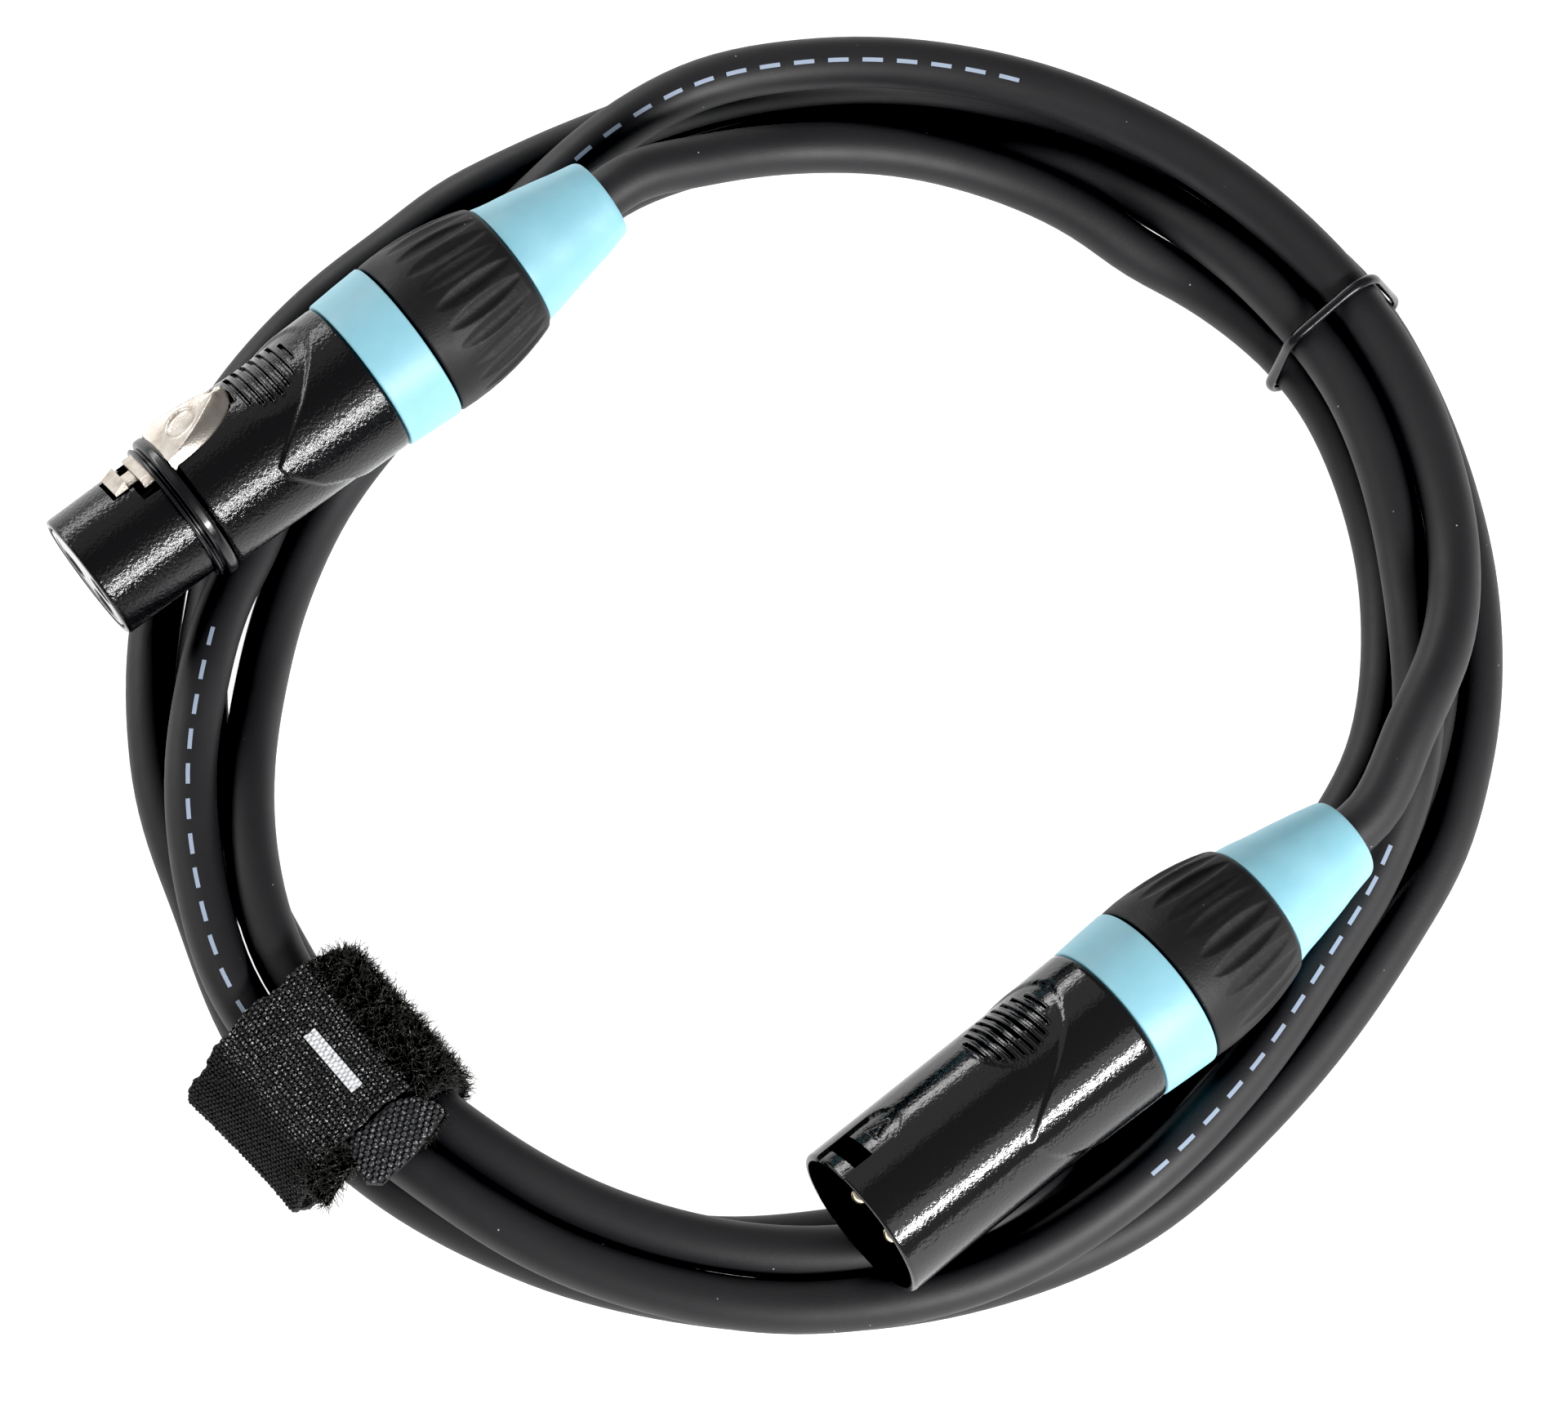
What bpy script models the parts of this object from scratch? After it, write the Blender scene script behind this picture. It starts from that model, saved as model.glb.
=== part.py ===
"""A 2 m microphone cable, coiled and tied, with a female and a male three-pole connector.

Blender 4.5, metres, +Z up.  The coil lies on the ground plane z = 0.  Each connector is built
in its own frame: +X runs from its open front to its rear, +Z points to its key side.
"""

import math

import bmesh
import bpy
import numpy as np
from mathutils import Matrix, Vector

MM = 0.001

# Cable and coil --------------------------------------------------------------------------
CABLE_R = 3.0 * MM
SOLID_R = 2.9 * MM              # faceted solid, a little inside the jacket
STRAND_GAP = 0.25 * MM          # air between two strands that lie against each other
SPREAD = 0.5                    # how much of a push passes on to the cable on either side
SAMPLE = 2.0 * MM               # spacing of the centreline while it settles
SOLID_SAMPLE = 9.5 * MM         # spacing of the points of the swept solid
COIL_CENTRE = (3.0 * MM, 0.5 * MM)
ORIGIN_SHIFT = (0.387 * MM, -1.735 * MM)   # puts the origin under the middle of the assembly

# One tuple for each clockwise turn: angle round the coil (degrees), radius and height (mm).
TURNS = (
    ((102, 60.9, 19.4), (92, 63.0, 15.4), (80, 65.2, 11.7), (70, 66.4, 9.0), (60, 67.4, 6.9),
     (50, 68.6, 4.3), (30, 70.0, 4.0), (10, 68.2, 3.0), (-10, 65.0, 3.0), (-30, 58.0, 3.0),
     (-45, 55.5, 3.0), (-60, 59.0, 3.0), (-75, 63.0, 3.0), (-90, 64.7, 3.0), (-100, 66.3, 3.0),
     (-120, 68.0, 4.0), (-140, 68.3, 4.8), (-150, 67.7, 4.8), (-160, 68.3, 4.0), (-170, 69.5, 4.2),
     (-180, 70.5, 4.8), (-190, 70.3, 3.4), (-200, 71.0, 3.0), (-220, 69.3, 3.0), (-230, 68.2, 3.0),
     (-240, 70.2, 3.0)),
    ((110, 73.2, 3.0), (100, 74.8, 3.0), (90, 76.2, 3.0), (70, 77.6, 3.0), (50, 79.6, 3.5),
     (30, 79.3, 4.0), (10, 78.0, 3.0), (-10, 74.6, 3.0), (-30, 71.7, 3.0), (-45, 71.2, 3.0),
     (-60, 72.4, 3.0), (-75, 72.4, 3.0), (-90, 72.5, 3.0), (-110, 73.2, 3.0), (-130, 75.3, 4.6),
     (-145, 75.8, 4.8), (-160, 74.2, 4.0), (-175, 75.3, 3.0), (-190, 75.8, 3.0), (-210, 76.0, 3.0),
     (-230, 72.9, 4.5)),
    ((120, 71.4, 8.5), (110, 71.7, 9.2), (100, 73.3, 9.0), (90, 74.6, 9.0), (70, 77.0, 8.7),
     (60, 77.6, 8.3), (50, 77.6, 8.2), (30, 75.0, 7.8), (10, 72.8, 6.6), (-10, 70.0, 5.4),
     (-20, 67.0, 3.2), (-30, 64.3, 3.0), (-45, 61.2, 3.4), (-60, 64.0, 5.0), (-75, 67.3, 8.0),
     (-90, 68.1, 8.6), (-110, 67.6, 9.2), (-130, 67.4, 10.6), (-150, 69.0, 10.6), (-160, 67.3, 9.6),
     (-170, 65.4, 8.0), (-180, 63.4, 5.0), (-190, 62.2, 3.5), (-200, 61.2, 3.0), (-220, 59.6, 3.0),
     (-230, 60.8, 3.0), (-240, 64.0, 3.0)),
    ((110, 67.3, 3.0), (100, 68.6, 3.0), (90, 70.2, 3.0), (70, 71.9, 4.3), (60, 73.2, 5.0),
     (50, 73.0, 8.6), (30, 72.1, 11.4), (10, 69.6, 11.6), (-10, 69.4, 11.4), (-20, 68.3, 9.4),
     (-30, 67.0, 8.8), (-45, 67.8, 8.8), (-60, 70.2, 9.0), (-75, 72.7, 9.0), (-90, 73.7, 9.0),
     (-110, 73.4, 9.4), (-130, 72.5, 11.0), (-145, 74.7, 11.4), (-160, 73.2, 11.0), (-170, 71.4, 11.4),
     (-180, 69.2, 11.2), (-190, 68.1, 8.9), (-200, 67.2, 6.8), (-220, 64.8, 6.8), (-230, 64.2, 8.4),
     (-240, 66.3, 11.5)),
    ((110, 69.3, 14.4), (100, 72.6, 14.8), (90, 74.0, 15.0), (70, 75.7, 15.0), (50, 76.6, 14.8),
     (30, 76.7, 14.8), (10, 74.5, 14.8), (0, 71.5, 17.0), (-8, 68.2, 18.6)),
)

# Where the bundle is tied: angle round the coil, half width, run-out, and how far the tie
# under the bundle holds it off the ground.
STRAP_ANGLE, STRAP_HALF, STRAP_RUNOUT = -139.2, 9.0, 10.0
RING_ANGLE, RING_HALF, RING_RUNOUT = 35.0, 2.0, 9.0
TIE_GAP = 0.3 * MM
STRAP_WIDTH, STRAP_THICK, STRAP_STEP = 18.4 * MM, 1.3 * MM, 1.6 * MM

# The strap's loop as (across, height) round the bundle, and its tail as (across, along) the
# coil, in millimetres.  "Across" is the distance from the middle of the coil.
STRAP_LOOP = (
    (72.0, 0.6), (76.0, 0.6), (80.0, 0.6), (83.0, 1.5), (84.0, 3.3), (83.3, 5.3), (81.6, 8.6),
    (79.4, 12.1), (77.2, 14.6), (74.2, 15.35), (70.5, 15.3), (66.6, 15.2), (63.9, 14.2), (62.5, 11.6),
    (62.3, 8.0), (62.6, 4.2), (64.0, 1.5), (67.0, 0.6),
)
STRAP_TAIL = (
    (75.8, 8.0), (69.9, 8.0), (66.0, 8.6), (65.8, 11.1), (65.3, 13.4), (68.9, 14.7), (73.5, 15.8),
    (75.9, 15.6), (77.2, 14.4), (76.9, 12.3),
)
STRAP_TAIL_HEIGHT = 14.6 * MM
RING_WIDTH, RING_THICK = 1.3 * MM, 0.9 * MM

# Connectors ------------------------------------------------------------------------------
FEMALE_FRONT = Vector((-79.1 * MM, 8.7 * MM, 18.5 * MM))
FEMALE_YAW, FEMALE_PITCH, FEMALE_ROLL = 38.1, 2.8, 37.0
MALE_FRONT = Vector((8.2 * MM, -67.2 * MM, 21.5 * MM))
MALE_YAW, MALE_PITCH, MALE_ROLL = 39.8, -3.2, 40.0

FEMALE_SHELL_END = 38.8 * MM    # front face to the colour ring
MALE_SHELL_END = 36.0 * MM
RING_START, RING_END = 0.2 * MM, 6.9 * MM       # these are measured from the shell's end
NECK_END = 15.0 * MM
NUT_START, NUT_END = 7.2 * MM, 21.3 * MM
BOOT_START, BOOT_END = 21.7 * MM, 35.1 * MM
CHUCK_START, CHUCK_END = 2.0 * MM, 14.6 * MM
JACKET_START = 3.5 * MM

NOSE_R = 7.9 * MM
MOUTH_R = 9.3 * MM
NECK_R = 7.7 * MM
RING_FRONT_R, RING_REAR_R = 9.85 * MM, 10.2 * MM
NUT_FRONT_R, NUT_REAR_R = 10.15 * MM, 7.95 * MM
BOOT_FRONT_R, BOOT_REAR_R = 7.6 * MM, 5.1 * MM
CORE_BORE_R = 6.4 * MM          # the shell's rear bore, which holds the chuck
CLEAR = 0.3 * MM                # between pieces that touch
CABLE_BORE_R = CABLE_R + CLEAR

POLE_CIRCLE_R = 3.9 * MM        # the three contacts stand on this circle
POLE_ANGLES = (90.0, -90.0, 180.0)              # from the key side
PIN_R = 1.19 * MM
WIRE_R = 0.6 * MM
PIN_RECESS = 1.8 * MM
MALE_FLOOR = 14.5 * MM          # mouth to the insert's face
LATCH_PIVOT = (26.0 * MM, 5.0 * MM)             # along the axis, and towards the key side

FACETS = 28


# Materials -------------------------------------------------------------------------------
def material(name, colour, roughness, metallic=0.0):
    made = bpy.data.materials.new(name)
    made.use_nodes = True
    shader = made.node_tree.nodes["Principled BSDF"]
    shader.inputs["Base Color"].default_value = (*colour, 1.0)
    shader.inputs["Roughness"].default_value = roughness
    shader.inputs["Metallic"].default_value = metallic
    return made


def clear_scene():
    for old in list(bpy.data.objects):
        bpy.data.objects.remove(old, do_unlink=True)


# Mesh helpers ----------------------------------------------------------------------------
def finish(name, mesh_maker, look, parent=None):
    """Turns a filled bmesh into a named object with a material."""
    mesh = bpy.data.meshes.new(name)
    mesh_maker.to_mesh(mesh)
    mesh_maker.free()
    mesh.shade_smooth()
    mesh.set_sharp_from_angle(angle=math.radians(35))
    mesh.materials.append(look)
    made = bpy.data.objects.new(name, mesh)
    bpy.context.scene.collection.objects.link(made)
    made.parent = parent
    return made


def turned(profile, facets=FACETS, offset=(0.0, 0.0), phase=0.0):
    """A closed profile of (along X, radius) points, turned round an axis parallel to X.

    Two points of radius 0 that follow each other make the shape solid on its axis: its ends
    there are flat faces.
    """
    shape = bmesh.new()
    rings = []
    for along, radius in profile:
        ring = []
        for k in range(facets):
            angle = math.tau * (k + phase) / facets
            ring.append(shape.verts.new((along, offset[0] + radius * math.cos(angle),
                                         offset[1] + radius * math.sin(angle))) if radius else None)
        rings.append(ring)
    for k, ring in enumerate(rings):
        following = rings[(k + 1) % len(rings)]
        if ring[0] is None and following[0] is None:
            continue
        if ring[0] is None or following[0] is None:
            shape.faces.new(ring if following[0] is None else following)
            continue
        for i in range(facets):
            j = (i + 1) % facets
            shape.faces.new((ring[i], following[i], following[j], ring[j]))
    bmesh.ops.recalc_face_normals(shape, faces=shape.faces)
    return shape


def extruded(outline, half_width):
    """An (X, Z) outline extruded to both sides along Y."""
    shape = bmesh.new()
    near = [shape.verts.new((x, -half_width, z)) for x, z in outline]
    far = [shape.verts.new((x, half_width, z)) for x, z in outline]
    shape.faces.new(near)
    shape.faces.new(far[::-1])
    for k in range(len(outline)):
        j = (k + 1) % len(outline)
        shape.faces.new((near[k], far[k], far[j], near[j]))
    bmesh.ops.recalc_face_normals(shape, faces=shape.faces)
    return shape


def plate(outline, low, high):
    """An (X, Y) outline extruded from one height to another."""
    shape = bmesh.new()
    bottom = [shape.verts.new((x, y, low)) for x, y in outline]
    top = [shape.verts.new((x, y, high)) for x, y in outline]
    shape.faces.new(bottom)
    shape.faces.new(top)
    for k in range(len(outline)):
        j = (k + 1) % len(outline)
        shape.faces.new((bottom[k], bottom[j], top[j], top[k]))
    bmesh.ops.recalc_face_normals(shape, faces=shape.faces)
    return shape


def swept(points, radius, sides):
    """A round bar along the points, which keeps its own twist small."""
    shape = bmesh.new()
    side = None
    rings = []
    for k, point in enumerate(points):
        ahead = Vector(points[min(k + 1, len(points) - 1)]) - Vector(points[max(k - 1, 0)])
        ahead.normalize()
        side = (ahead.orthogonal() if side is None else side - ahead * side.dot(ahead)).normalized()
        across = ahead.cross(side)
        ring = []
        for i in range(sides):
            angle = math.tau * i / sides
            ring.append(shape.verts.new(
                Vector(point) + radius * (math.cos(angle) * side + math.sin(angle) * across)))
        rings.append(ring)
    for ring, following in zip(rings, rings[1:]):
        for i in range(sides):
            j = (i + 1) % sides
            shape.faces.new((ring[i], ring[j], following[j], following[i]))
    shape.faces.new(rings[0][::-1])
    shape.faces.new(rings[-1])
    bmesh.ops.recalc_face_normals(shape, faces=shape.faces)
    return shape


def cut(target, cutters, look, operation="DIFFERENCE"):
    """Takes bmesh cutters from an object, or joins them to it, each with a Boolean modifier."""
    for k, shape in enumerate(cutters):
        tool = finish(f"{target.name}_cutter_{k}", shape, look, target.parent)
        tool.hide_render = True
        tool.display_type = "WIRE"
        modifier = target.modifiers.new(f"cut_{k}", "BOOLEAN")
        modifier.operation = operation
        modifier.object = tool


def box(low, high):
    shape = bmesh.new()
    size = Vector(high) - Vector(low)
    middle = (Vector(high) + Vector(low)) / 2
    bmesh.ops.create_cube(shape, size=1.0,
                          matrix=Matrix.Translation(middle) @ Matrix.Diagonal((*size, 1.0)))
    return shape


# Frames ----------------------------------------------------------------------------------
def connector_axis(yaw, pitch):
    yaw, pitch = math.radians(yaw), math.radians(pitch)
    return Vector((math.cos(pitch) * math.cos(yaw), math.cos(pitch) * math.sin(yaw), math.sin(pitch)))


def connector_frame(name, front, yaw, pitch, roll):
    """An empty at the connector's front, X along the connector and Z on its key side.

    The key side leans over by the roll, away from the coil's lower right.
    """
    frame = bpy.data.objects.new(name, None)
    bpy.context.scene.collection.objects.link(frame)
    turn = Matrix.Rotation(math.radians(yaw), 4, "Z") @ Matrix.Rotation(math.radians(-pitch), 4, "Y")
    lean = Matrix.Rotation(math.radians(-roll), 4, "X")
    shift = Vector((*ORIGIN_SHIFT, 0.0))
    frame.matrix_world = Matrix.Translation(front + shift) @ turn @ lean
    return frame


def pole_offset(angle):
    """(Y, Z) of a contact that stands this far round from the key side."""
    return (-POLE_CIRCLE_R * math.sin(math.radians(angle)), POLE_CIRCLE_R * math.cos(math.radians(angle)))


# The cable's route -----------------------------------------------------------------------
FEMALE_END = FEMALE_SHELL_END + BOOT_END
MALE_END = MALE_SHELL_END + BOOT_END
STRAIGHT_OUT = 3.0 * MM         # straight cable outside a boot, so that the boot can back off
STRAIGHT_IN = 12.0 * MM


def route_stations():
    """The hand-set points: out of the female boot, round the turns, into the male boot."""
    points = []
    female_axis = connector_axis(FEMALE_YAW, FEMALE_PITCH)
    male_axis = connector_axis(MALE_YAW, MALE_PITCH)
    for beyond in (-STRAIGHT_IN, -STRAIGHT_IN / 2, 0.0, STRAIGHT_OUT):
        points.append(FEMALE_FRONT + female_axis * (FEMALE_END + beyond))
    for turn in TURNS:
        for degrees, radius, height in turn:
            angle = math.radians(degrees)
            points.append(Vector((COIL_CENTRE[0] + radius * MM * math.cos(angle),
                                  COIL_CENTRE[1] + radius * MM * math.sin(angle), height * MM)))
    for beyond in (STRAIGHT_OUT, 0.0, -STRAIGHT_IN / 2, -STRAIGHT_IN):
        points.append(MALE_FRONT + male_axis * (MALE_END + beyond))
    return np.array([tuple(point) for point in points])


def even_curve(points, spacing):
    """A smooth cubic through the points, cut into even steps."""
    along = np.concatenate([[0.0], np.cumsum(np.linalg.norm(np.diff(points, axis=0), axis=1))])
    slope = np.gradient(points, along, axis=0)
    fine = []
    for k in range(len(points) - 1):
        span = along[k + 1] - along[k]
        t = np.linspace(0.0, 1.0, 24, endpoint=False)[:, None]
        fine.append((2 * t**3 - 3 * t**2 + 1) * points[k] + (t**3 - 2 * t**2 + t) * span * slope[k]
                    + (3 * t**2 - 2 * t**3) * points[k + 1] + (t**3 - t**2) * span * slope[k + 1])
    fine.append(points[-1:])
    fine = np.vstack(fine)
    along = np.concatenate([[0.0], np.cumsum(np.linalg.norm(np.diff(fine, axis=0), axis=1))])
    places = np.linspace(0.0, along[-1], int(along[-1] / spacing) + 1)
    return np.stack([np.interp(places, along, column) for column in fine.T], axis=1)


def tie_lift(points):
    """How far the strap and the ring hold the bundle off the ground at these points."""
    angle = np.degrees(np.arctan2(points[:, 1] - COIL_CENTRE[1], points[:, 0] - COIL_CENTRE[0]))
    lift = np.zeros(len(points))
    for place, half, runout, thick in ((STRAP_ANGLE, STRAP_HALF, STRAP_RUNOUT, STRAP_THICK),
                                       (RING_ANGLE, RING_HALF, RING_RUNOUT, RING_THICK)):
        away = np.abs((angle - place + 180.0) % 360.0 - 180.0)
        share = np.clip(1.0 - (away - half) / runout, 0.0, 1.0)
        lift = np.maximum(lift, (thick + TIE_GAP) * share * share * (3 - 2 * share))
    return lift


def connector_envelopes():
    """(front, axis, length, stations, radii) of what the strands must stay clear of."""
    stations = (0.0, 13.0 * MM, 38.0 * MM, 46.0 * MM, 58.0 * MM, 71.0 * MM, 74.0 * MM)
    female = (7.9 * MM, 9.4 * MM, 9.7 * MM, 10.3 * MM, 8.7 * MM, 5.8 * MM, 4.9 * MM)
    male = (9.4 * MM, 9.5 * MM, 9.9 * MM, 10.3 * MM, 7.9 * MM, 5.2 * MM, 3.3 * MM)
    return (
        (FEMALE_FRONT, connector_axis(FEMALE_YAW, FEMALE_PITCH), FEMALE_END + 2.5 * MM, stations, female),
        (MALE_FRONT, connector_axis(MALE_YAW, MALE_PITCH), MALE_END + 2.5 * MM, stations, male),
    )


def settled(points, rounds=260, hold=0.02):
    """Moves strands apart until none cuts another, the ground or a connector."""
    count = len(points)
    home = points.copy()
    held = np.zeros(count, bool)
    lead = int((STRAIGHT_IN + STRAIGHT_OUT) / SAMPLE)
    held[:lead] = True
    held[-lead:] = True
    apart = 2 * CABLE_R + STRAND_GAP
    index = np.arange(count)
    neighbours = int(3 * apart / SAMPLE)
    envelopes = connector_envelopes()
    own_cable = (index < 2 * lead, index >= count - 2 * lead)
    for step in range(rounds):
        if step % 12 == 0:
            distance = np.linalg.norm(points[:, None] - points[None], axis=2)
            close = (distance < apart + 3 * MM) & (index[None] - index[:, None] > neighbours)
            first, second = np.nonzero(close)
        across = points[second] - points[first]
        gap = np.linalg.norm(across, axis=1)
        overlap = np.clip(apart - gap, 0.0, None)
        move = across / gap[:, None] * (overlap * 0.65)[:, None]
        push = np.zeros_like(points)
        pushes = np.zeros(count)
        np.add.at(push, first, -move)
        np.add.at(push, second, move)
        np.add.at(pushes, first, overlap > 0)
        np.add.at(pushes, second, overlap > 0)
        moved = points + push / np.maximum(pushes, 1)[:, None]
        bow = np.zeros_like(moved)
        bow[1:-1] = (moved[:-2] + moved[2:]) / 2 - moved[1:-1]
        moved[2:-2] += 0.5 * (bow[2:-2] - (bow[1:-3] + bow[3:-1]) / 2)
        moved += hold * (home - moved)
        shift = moved - home
        moved[1:-1] += SPREAD * ((shift[:-2] + shift[2:]) / 2 - shift[1:-1])
        for (front, axis, length, stations, radii), own in zip(envelopes, own_cable):
            offset = moved - np.array(front)
            along = offset @ np.array(axis)
            out = offset - along[:, None] * np.array(axis)
            reach = np.linalg.norm(out, axis=1)
            need = np.interp(along, stations, radii) + CABLE_R + CLEAR
            hit = (along > 0) & (along < length) & (reach < need) & ~own
            moved[hit] += out[hit] / reach[hit, None] * (need - reach)[hit, None]
        moved[:, 2] = np.maximum(moved[:, 2], CABLE_R + tie_lift(moved))
        moved[held] = home[held]
        points = moved
    return points


def cable_route():
    """The cable's centreline from the female chuck to the male chuck, in assembly space."""
    free = settled(even_curve(route_stations(), SAMPLE))
    female_start = FEMALE_FRONT + connector_axis(FEMALE_YAW, FEMALE_PITCH) * (
        FEMALE_SHELL_END + JACKET_START)
    male_start = MALE_FRONT + connector_axis(MALE_YAW, MALE_PITCH) * (MALE_SHELL_END + JACKET_START)
    whole = np.vstack([np.array(female_start), free, np.array(male_start)])
    return whole + np.array((*ORIGIN_SHIFT, 0.0))


def tie_axes(angle):
    """The middle of the coil, and the directions away from it and along the coil at a tie."""
    theta = math.radians(angle)
    centre = np.array((COIL_CENTRE[0] + ORIGIN_SHIFT[0], COIL_CENTRE[1] + ORIGIN_SHIFT[1], 0.0))
    outward = np.array((math.cos(theta), math.sin(theta), 0.0))
    ahead = np.array((-math.sin(theta), math.cos(theta), 0.0))
    return centre, outward, ahead


def tie_outline(route, angle, half_width, thick, steps=36):
    """The bundle's outline inside a tie of this thickness, and the frame that it lies in.

    Every strand that passes through the tie is seen along the coil's own direction, and the
    outline is the tight belt round all of them, a small gap away.  Its underside is flat.
    """
    centre, outward, ahead = tie_axes(angle)
    offset = route - centre
    under = (np.abs(offset @ ahead) < half_width) & (offset @ outward > 0)
    seen = np.stack([offset[under] @ outward, offset[under, 2]], axis=1)
    outline = []
    for k in range(steps):
        way = math.tau * k / steps
        towards = np.array((math.cos(way), math.sin(way)))
        spot = seen[np.argmax(seen @ towards)] + (CABLE_R + TIE_GAP) * towards
        outline.append((spot[0], thick if spot[1] < thick + 0.4 * MM else spot[1]))
    return outline, centre, outward, ahead


def band(outline, centre, outward, ahead, width, thick):
    """A closed belt of this thickness outside the outline, which lies on the ground."""
    shape = bmesh.new()
    count = len(outline)
    loops = []
    for side, grow in ((-1, 0.0), (1, 0.0), (1, thick), (-1, thick)):
        loop = []
        for k, (across, height) in enumerate(outline):
            way = math.tau * k / count
            across += grow * math.cos(way)
            height = height - grow if height == thick else height + grow * math.sin(way)
            place = centre + outward * across + ahead * (side * width / 2)
            loop.append(shape.verts.new((place[0], place[1], height)))
        loops.append(loop)
    for a, b in zip(loops, loops[1:] + loops[:1]):
        for k in range(count):
            j = (k + 1) % count
            shape.faces.new((a[k], a[j], b[j], b[k]))
    bmesh.ops.recalc_face_normals(shape, faces=shape.faces)
    return shape


# Pieces common to both connectors --------------------------------------------------------
def rear_pieces(prefix, frame, shell_end, looks):
    """Colour ring, chuck, gland nut and boot, which both connectors share."""
    colour_ring = ((RING_START, NECK_R + CLEAR), (RING_END, NECK_R + CLEAR),
                   (RING_END, RING_REAR_R), (RING_START, RING_FRONT_R))
    chuck = ((CHUCK_START, CABLE_BORE_R), (CHUCK_END, CABLE_BORE_R),
             (CHUCK_END, 5.2 * MM), (CHUCK_END - 3.0 * MM, CORE_BORE_R - CLEAR),
             (CHUCK_START, CORE_BORE_R - CLEAR))
    nut = ((NUT_START, NECK_R + 0.35 * MM), (NECK_END + 1.0 * MM, NECK_R + 0.35 * MM),
           (NECK_END + 1.2 * MM, 7.3 * MM), (NECK_END + 3.1 * MM, 7.0 * MM),
           (NECK_END + 3.2 * MM, 5.6 * MM), (NUT_END, 5.6 * MM), (NUT_END, NUT_REAR_R - 0.5 * MM),
           (NUT_END - 0.5 * MM, NUT_REAR_R), (NUT_START + 4.0 * MM, NUT_FRONT_R - 0.15 * MM),
           (NUT_START, NUT_FRONT_R))
    boot = ((NECK_END + 1.5 * MM, CABLE_BORE_R), (BOOT_END, CABLE_BORE_R),
            (BOOT_END, BOOT_REAR_R - 0.9 * MM), (BOOT_END - 0.4 * MM, BOOT_REAR_R - 0.25 * MM),
            (BOOT_END - 1.2 * MM, BOOT_REAR_R), (BOOT_START, BOOT_FRONT_R), (BOOT_START, 5.3 * MM),
            (NECK_END + 2.7 * MM, 5.3 * MM), (NECK_END + 2.7 * MM, 6.8 * MM),
            (NECK_END + 1.5 * MM, 6.8 * MM))
    for name, profile, look in (("colour_ring", colour_ring, "blue"), ("chuck", chuck, "chuck"),
                                ("gland_nut", nut, "nut"), ("boot", boot, "blue")):
        moved = [(shell_end + along, radius) for along, radius in profile]
        made = finish(f"{prefix}_{name}", turned(moved), looks[look], frame)
        if name == "chuck":
            slot_end = shell_end + CHUCK_END + 1.0 * MM
            slot_start = shell_end + CHUCK_END - 8.0 * MM
            reach = 7.0 * MM
            half = 0.4 * MM
            cut(made, (box((slot_start, -half, -reach), (slot_end, half, reach)),
                       box((slot_start, -reach, -half), (slot_end, reach, half))), looks["nut"])


def conductors(prefix, frame, shell_end, cup_end, looks):
    """The three insulated cores, from the end of the jacket to the solder cups."""
    jacket = shell_end + JACKET_START - CLEAR
    for number, angle in enumerate(POLE_ANGLES, 1):
        pole = Vector((0.0, *pole_offset(angle)))
        points = []
        for along, share in ((cup_end + CLEAR, 1.0), (cup_end + 1.5 * MM, 0.97), (jacket - 3.6 * MM, 0.62),
                             (jacket - 1.6 * MM, 0.42), (jacket, 0.4)):
            points.append(Vector((along, 0.0, 0.0)) + pole * share)
        finish(f"{prefix}_core_{number}", swept(points, WIRE_R, 8), looks[f"core_{number}"], frame)


# Female connector ------------------------------------------------------------------------
def female_shell(frame, looks):
    end = FEMALE_SHELL_END
    seat_r = 6.95 * MM
    profile = (
        (0.0, seat_r), (31.0 * MM, seat_r), (31.0 * MM, CORE_BORE_R), (end + NECK_END, CORE_BORE_R),
        (end + NECK_END, NECK_R), (end, NECK_R), (end, 9.5 * MM), (end - 0.3 * MM, 9.6 * MM),
        (15.6 * MM, 8.95 * MM), (14.9 * MM, 8.5 * MM), (14.8 * MM, NOSE_R), (0.4 * MM, NOSE_R),
        (0.0, NOSE_R - 0.4 * MM))
    shell = finish("female_shell", turned(profile, 40), looks["shell"], frame)
    window = box((7.4 * MM, -2.7 * MM, 5.0 * MM), (28.3 * MM, 2.7 * MM, 12.0 * MM))
    cut(shell, (window,), looks["shell"])


def female_insert(frame, looks):
    radius = 6.6 * MM
    end = 30.6 * MM
    insert = finish("female_insert", turned(((0.3 * MM, 0.0), (end, 0.0), (end, radius),
                                             (0.8 * MM, radius), (0.3 * MM, radius - 0.4 * MM))),
                    looks["insert"], frame)
    cutters = [box((5.8 * MM, -2.5 * MM, 3.2 * MM), (28.4 * MM, 2.5 * MM, 9.0 * MM))]
    pin = turned(((-4.6 * MM, 0.0), (4.6 * MM, 0.0), (4.6 * MM, 0.8 * MM), (-4.6 * MM, 0.8 * MM)), 16)
    bmesh.ops.transform(pin, verts=pin.verts, matrix=Matrix.Translation(
        (LATCH_PIVOT[0], 0.0, LATCH_PIVOT[1])) @ Matrix.Rotation(math.radians(90), 4, "Z"))
    cutters.append(pin)
    for angle in POLE_ANGLES:
        socket = ((-1.0 * MM, 0.0), (end + 1.0 * MM, 0.0), (end + 1.0 * MM, 2.0 * MM),
                  (1.5 * MM, 2.0 * MM), (1.5 * MM, 1.35 * MM), (-1.0 * MM, 1.35 * MM))
        cutters.append(turned(socket, 16, pole_offset(angle), 0.4))
    cut(insert, cutters, looks["insert"])


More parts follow.
